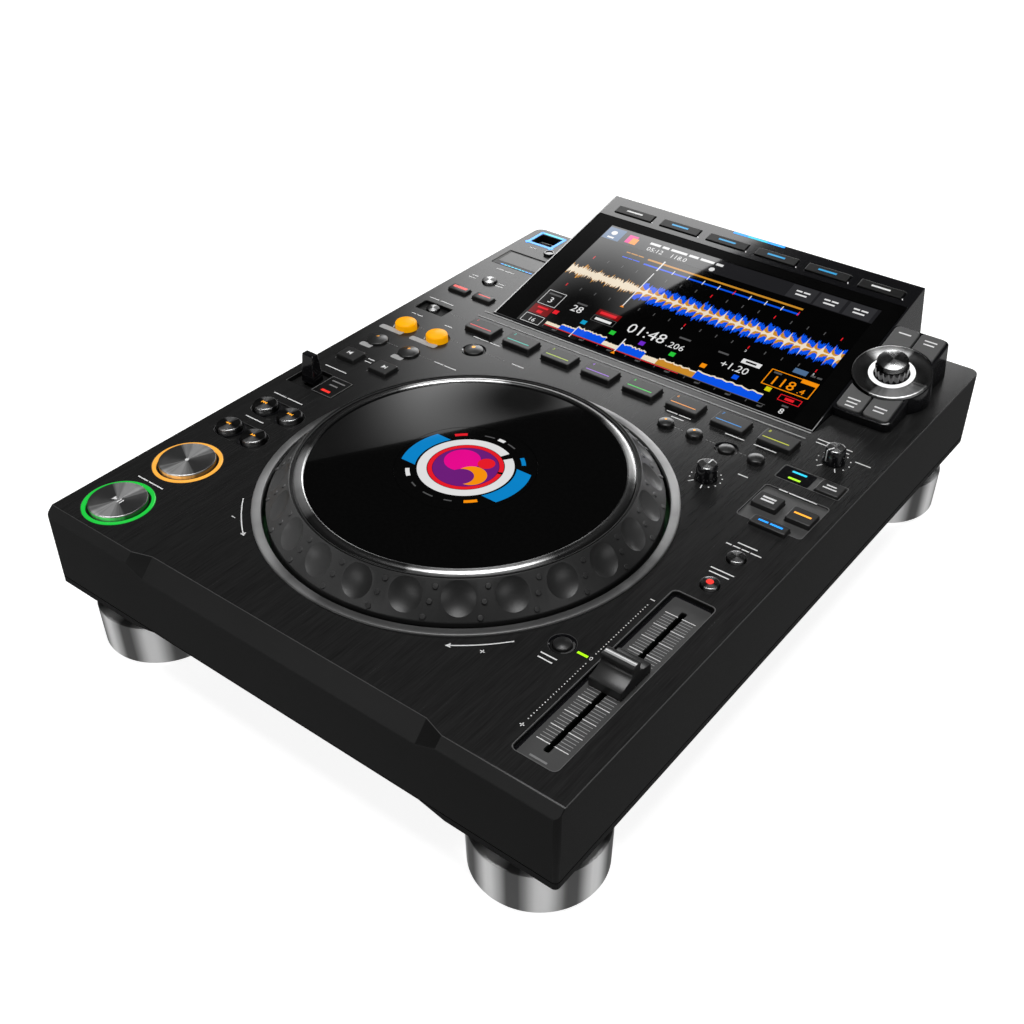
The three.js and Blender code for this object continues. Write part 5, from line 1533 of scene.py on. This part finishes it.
for y in (70.2, 76.9):
    rib = stacked(233, 0.9, 0.3, [(deck - 0.1, 0), (deck + 0.25, 0), (deck + 0.35, -0.15)])
    poured(moved(rib, -0.5, y), deck_print.sheet(tag_ink))
for x, y, width, depth in (
    (-148.8, 23, 18.4, 4.4), (-122.5, 23, 21, 4.4), (-148.5, -0.8, 9, 4.2), (-122.8, -0.8, 8.6, 4.2),
):
    tag = stacked(width, depth, 1.2, [(deck - 0.1, 0), (deck + 0.05, 0)])
    poured(moved(tag, x, y), deck_print.sheet(tag_ink))
for row in (
    (-137.6, -132, 35.5, 3), (-112, -102.6, 35.5, 5), (-82.6, -68, 35.5, 8), (-141, -130.6, 9, 5),
    (-115.4, -103.4, 9, 6), (-132, -120, 61, 6), (52, 58.6, 36, 3), (72.4, 79, 36, 3), (93.6, 98.6, 36, 2),
):
    dashes(*row)
for row in (
    (-148.8, 47.4, (3.4, 4.6)), (-122.5, 47.4, (6,)), (-91.6, 47.4, (12, 8)), (-142.6, -33.6, (17,)),
    (-58, 35.5, (9,)), (-93, 9, (7, 9)), (-133, -12.6, (5,)), (-133, -15.8, (5,)),
    (-141.4, -74.4, (10, 12)), (-140.6, -101.6, (14,)), (-139, -177.8, (8, 11)), (47.6, 48.4, (7, 8)),
    (49, 44.6, (8,)), (84, 48.2, (12,)), (103, 48.2, (14,)), (106.4, 18.4, (6,)), (138.4, 19.4, (5, 16)),
    (138.6, -33, (11,)), (138.4, -36.6, (3, 4, 4, 6)), (138.6, -57.4, (13,)), (138.6, -60.6, (11,)),
    (107.4, -155.8, (9,)), (107.4, -158.8, (8,)), (-148, 70.6, (8, 11)), (-153.6, 112.4, (5,)),
    (-153.6, 109.2, (6,)), (-131, 112.4, (5,)), (-131, 109.2, (6,)), (-141.4, 129.8, (6, 8)),
    (-148, 169.6, (6,)), (132, 74.4, (8, 12)), (132, 71, (10, 9)), (152.4, 66.4, (9,)),
):
    legend(*row)
for (width, depth, x, y), corner in ((sync_plate, 2.2), (mode_plate, 1.4)):
    deck_print.frame(dim_ink, x, y, width + 1, depth + 1, corner)
deck_print.frame(dim_ink, slider_x, slider_y, 24.2, 127.6, 3, 0.4)
for start, end, head_turn in ((-140.3, -125.2, -125.2), (-54.5, -39.8, -54.5)):
    deck_print.arc(white_ink, jog_x, jog_y, 115.9, 116.5, start, end)
    turn = math.radians(head_turn)
    way = turn + (math.pi / 2 if head_turn < -90 else -math.pi / 2)
    deck_print.triangle(white_ink, *ring_points(jog_x, jog_y, 116.2, [turn])[0], 1.7, way)
scale_x, scale_half = 123.4, 46
for i in range(-23, 24):
    if abs(i) > 1:
        deck_print.disc(white_ink, scale_x, slider_y + scale_half * i / 23, 0.32, 8)
deck_print.figures(white_ink, "0", scale_x, slider_y, 3.4)
minus_signs = ((-81.6, -171.6), (scale_x, slider_y + 50.4))
plus_signs = ((82, -171.7), (scale_x, slider_y - 50.4))
for place in minus_signs + plus_signs:
    deck_print.bar(white_ink, *place, 2.4, 0.5)
    if place in plus_signs:
        deck_print.bar(white_ink, *place, 0.5, 2.4)
deck_print.bar(lime_light, 118.9, slider_y, 5.6, 1.3, lift=0.15)
deck_print.bar(cyan_light, 129.6, 38.2, 8.4, 1.5)
deck_print.bar(lime_light, 129.6, 32, 7, 1.4)
finished("deck_print", deck_print.parts(), "case")
mode_window = moved(stacked(18.6, 12, 1, [(-0.5, 0), (-0.15, 0), (-0.05, -0.1)]), 129.2, mode_plate[3], deck)
finished("mode_window", [(mode_window, gloss_finish)], "case")


# Rear sockets: a power inlet of black plastic with three pins, and two sockets in tin shells.
# They are fixed to the board inside, and their mouths stand in holes of the back wall.
def facing_back(shape, x):
    """Turns a shape made flat so that its top looks out of the back wall at the sockets' height"""
    shape.transform(
        Matrix.Translation((x, rear_y - 0.4, socket_height)) @ Matrix.Rotation(-math.pi / 2, 4, "X"),
    )
    return shape


def cup(width, depth, corner, wall):
    """An open box: a block with a hollow"""
    outer = stacked(width, depth, corner, [(-8, 0), (-0.3, 0), (0, -0.2)])
    return carved(outer, [stacked(width - 2 * wall, depth - 2 * wall, corner * 0.6, [(-7, 0), (1, 0)])])


inlet_x, inlet_width, inlet_height = sockets["power"]
inlet = facing_back(cup(inlet_width - 0.6, inlet_height - 0.6, 2, 1.8), inlet_x)
pins = joined(*[
    facing_back(moved(stacked(2, 4, 0.3, [(-7.4, 0), (-1.6, 0), (-1.2, -0.3)]), x, y), inlet_x)
    for x, y in ((-6.6, -2), (0, 2.4), (6.6, -2))
])
finished("power_inlet", [(inlet, neck_finish), (pins, metal_finish)], "case")
for name in ("network", "computer"):
    socket_x, socket_width, socket_depth = sockets[name]
    shell = facing_back(cup(socket_width - 0.6, socket_depth - 0.6, 0.6, 0.6), socket_x)
    tongue = moved(stacked(socket_width * 0.5, socket_depth * 0.3, 0.4, [(-7.4, 0), (-1.2, 0)]), 0, -1)
    tongue = facing_back(tongue, socket_x)
    finished(f"{name}_socket", [(shell, metal_finish), (tongue, neck_finish)], "case")
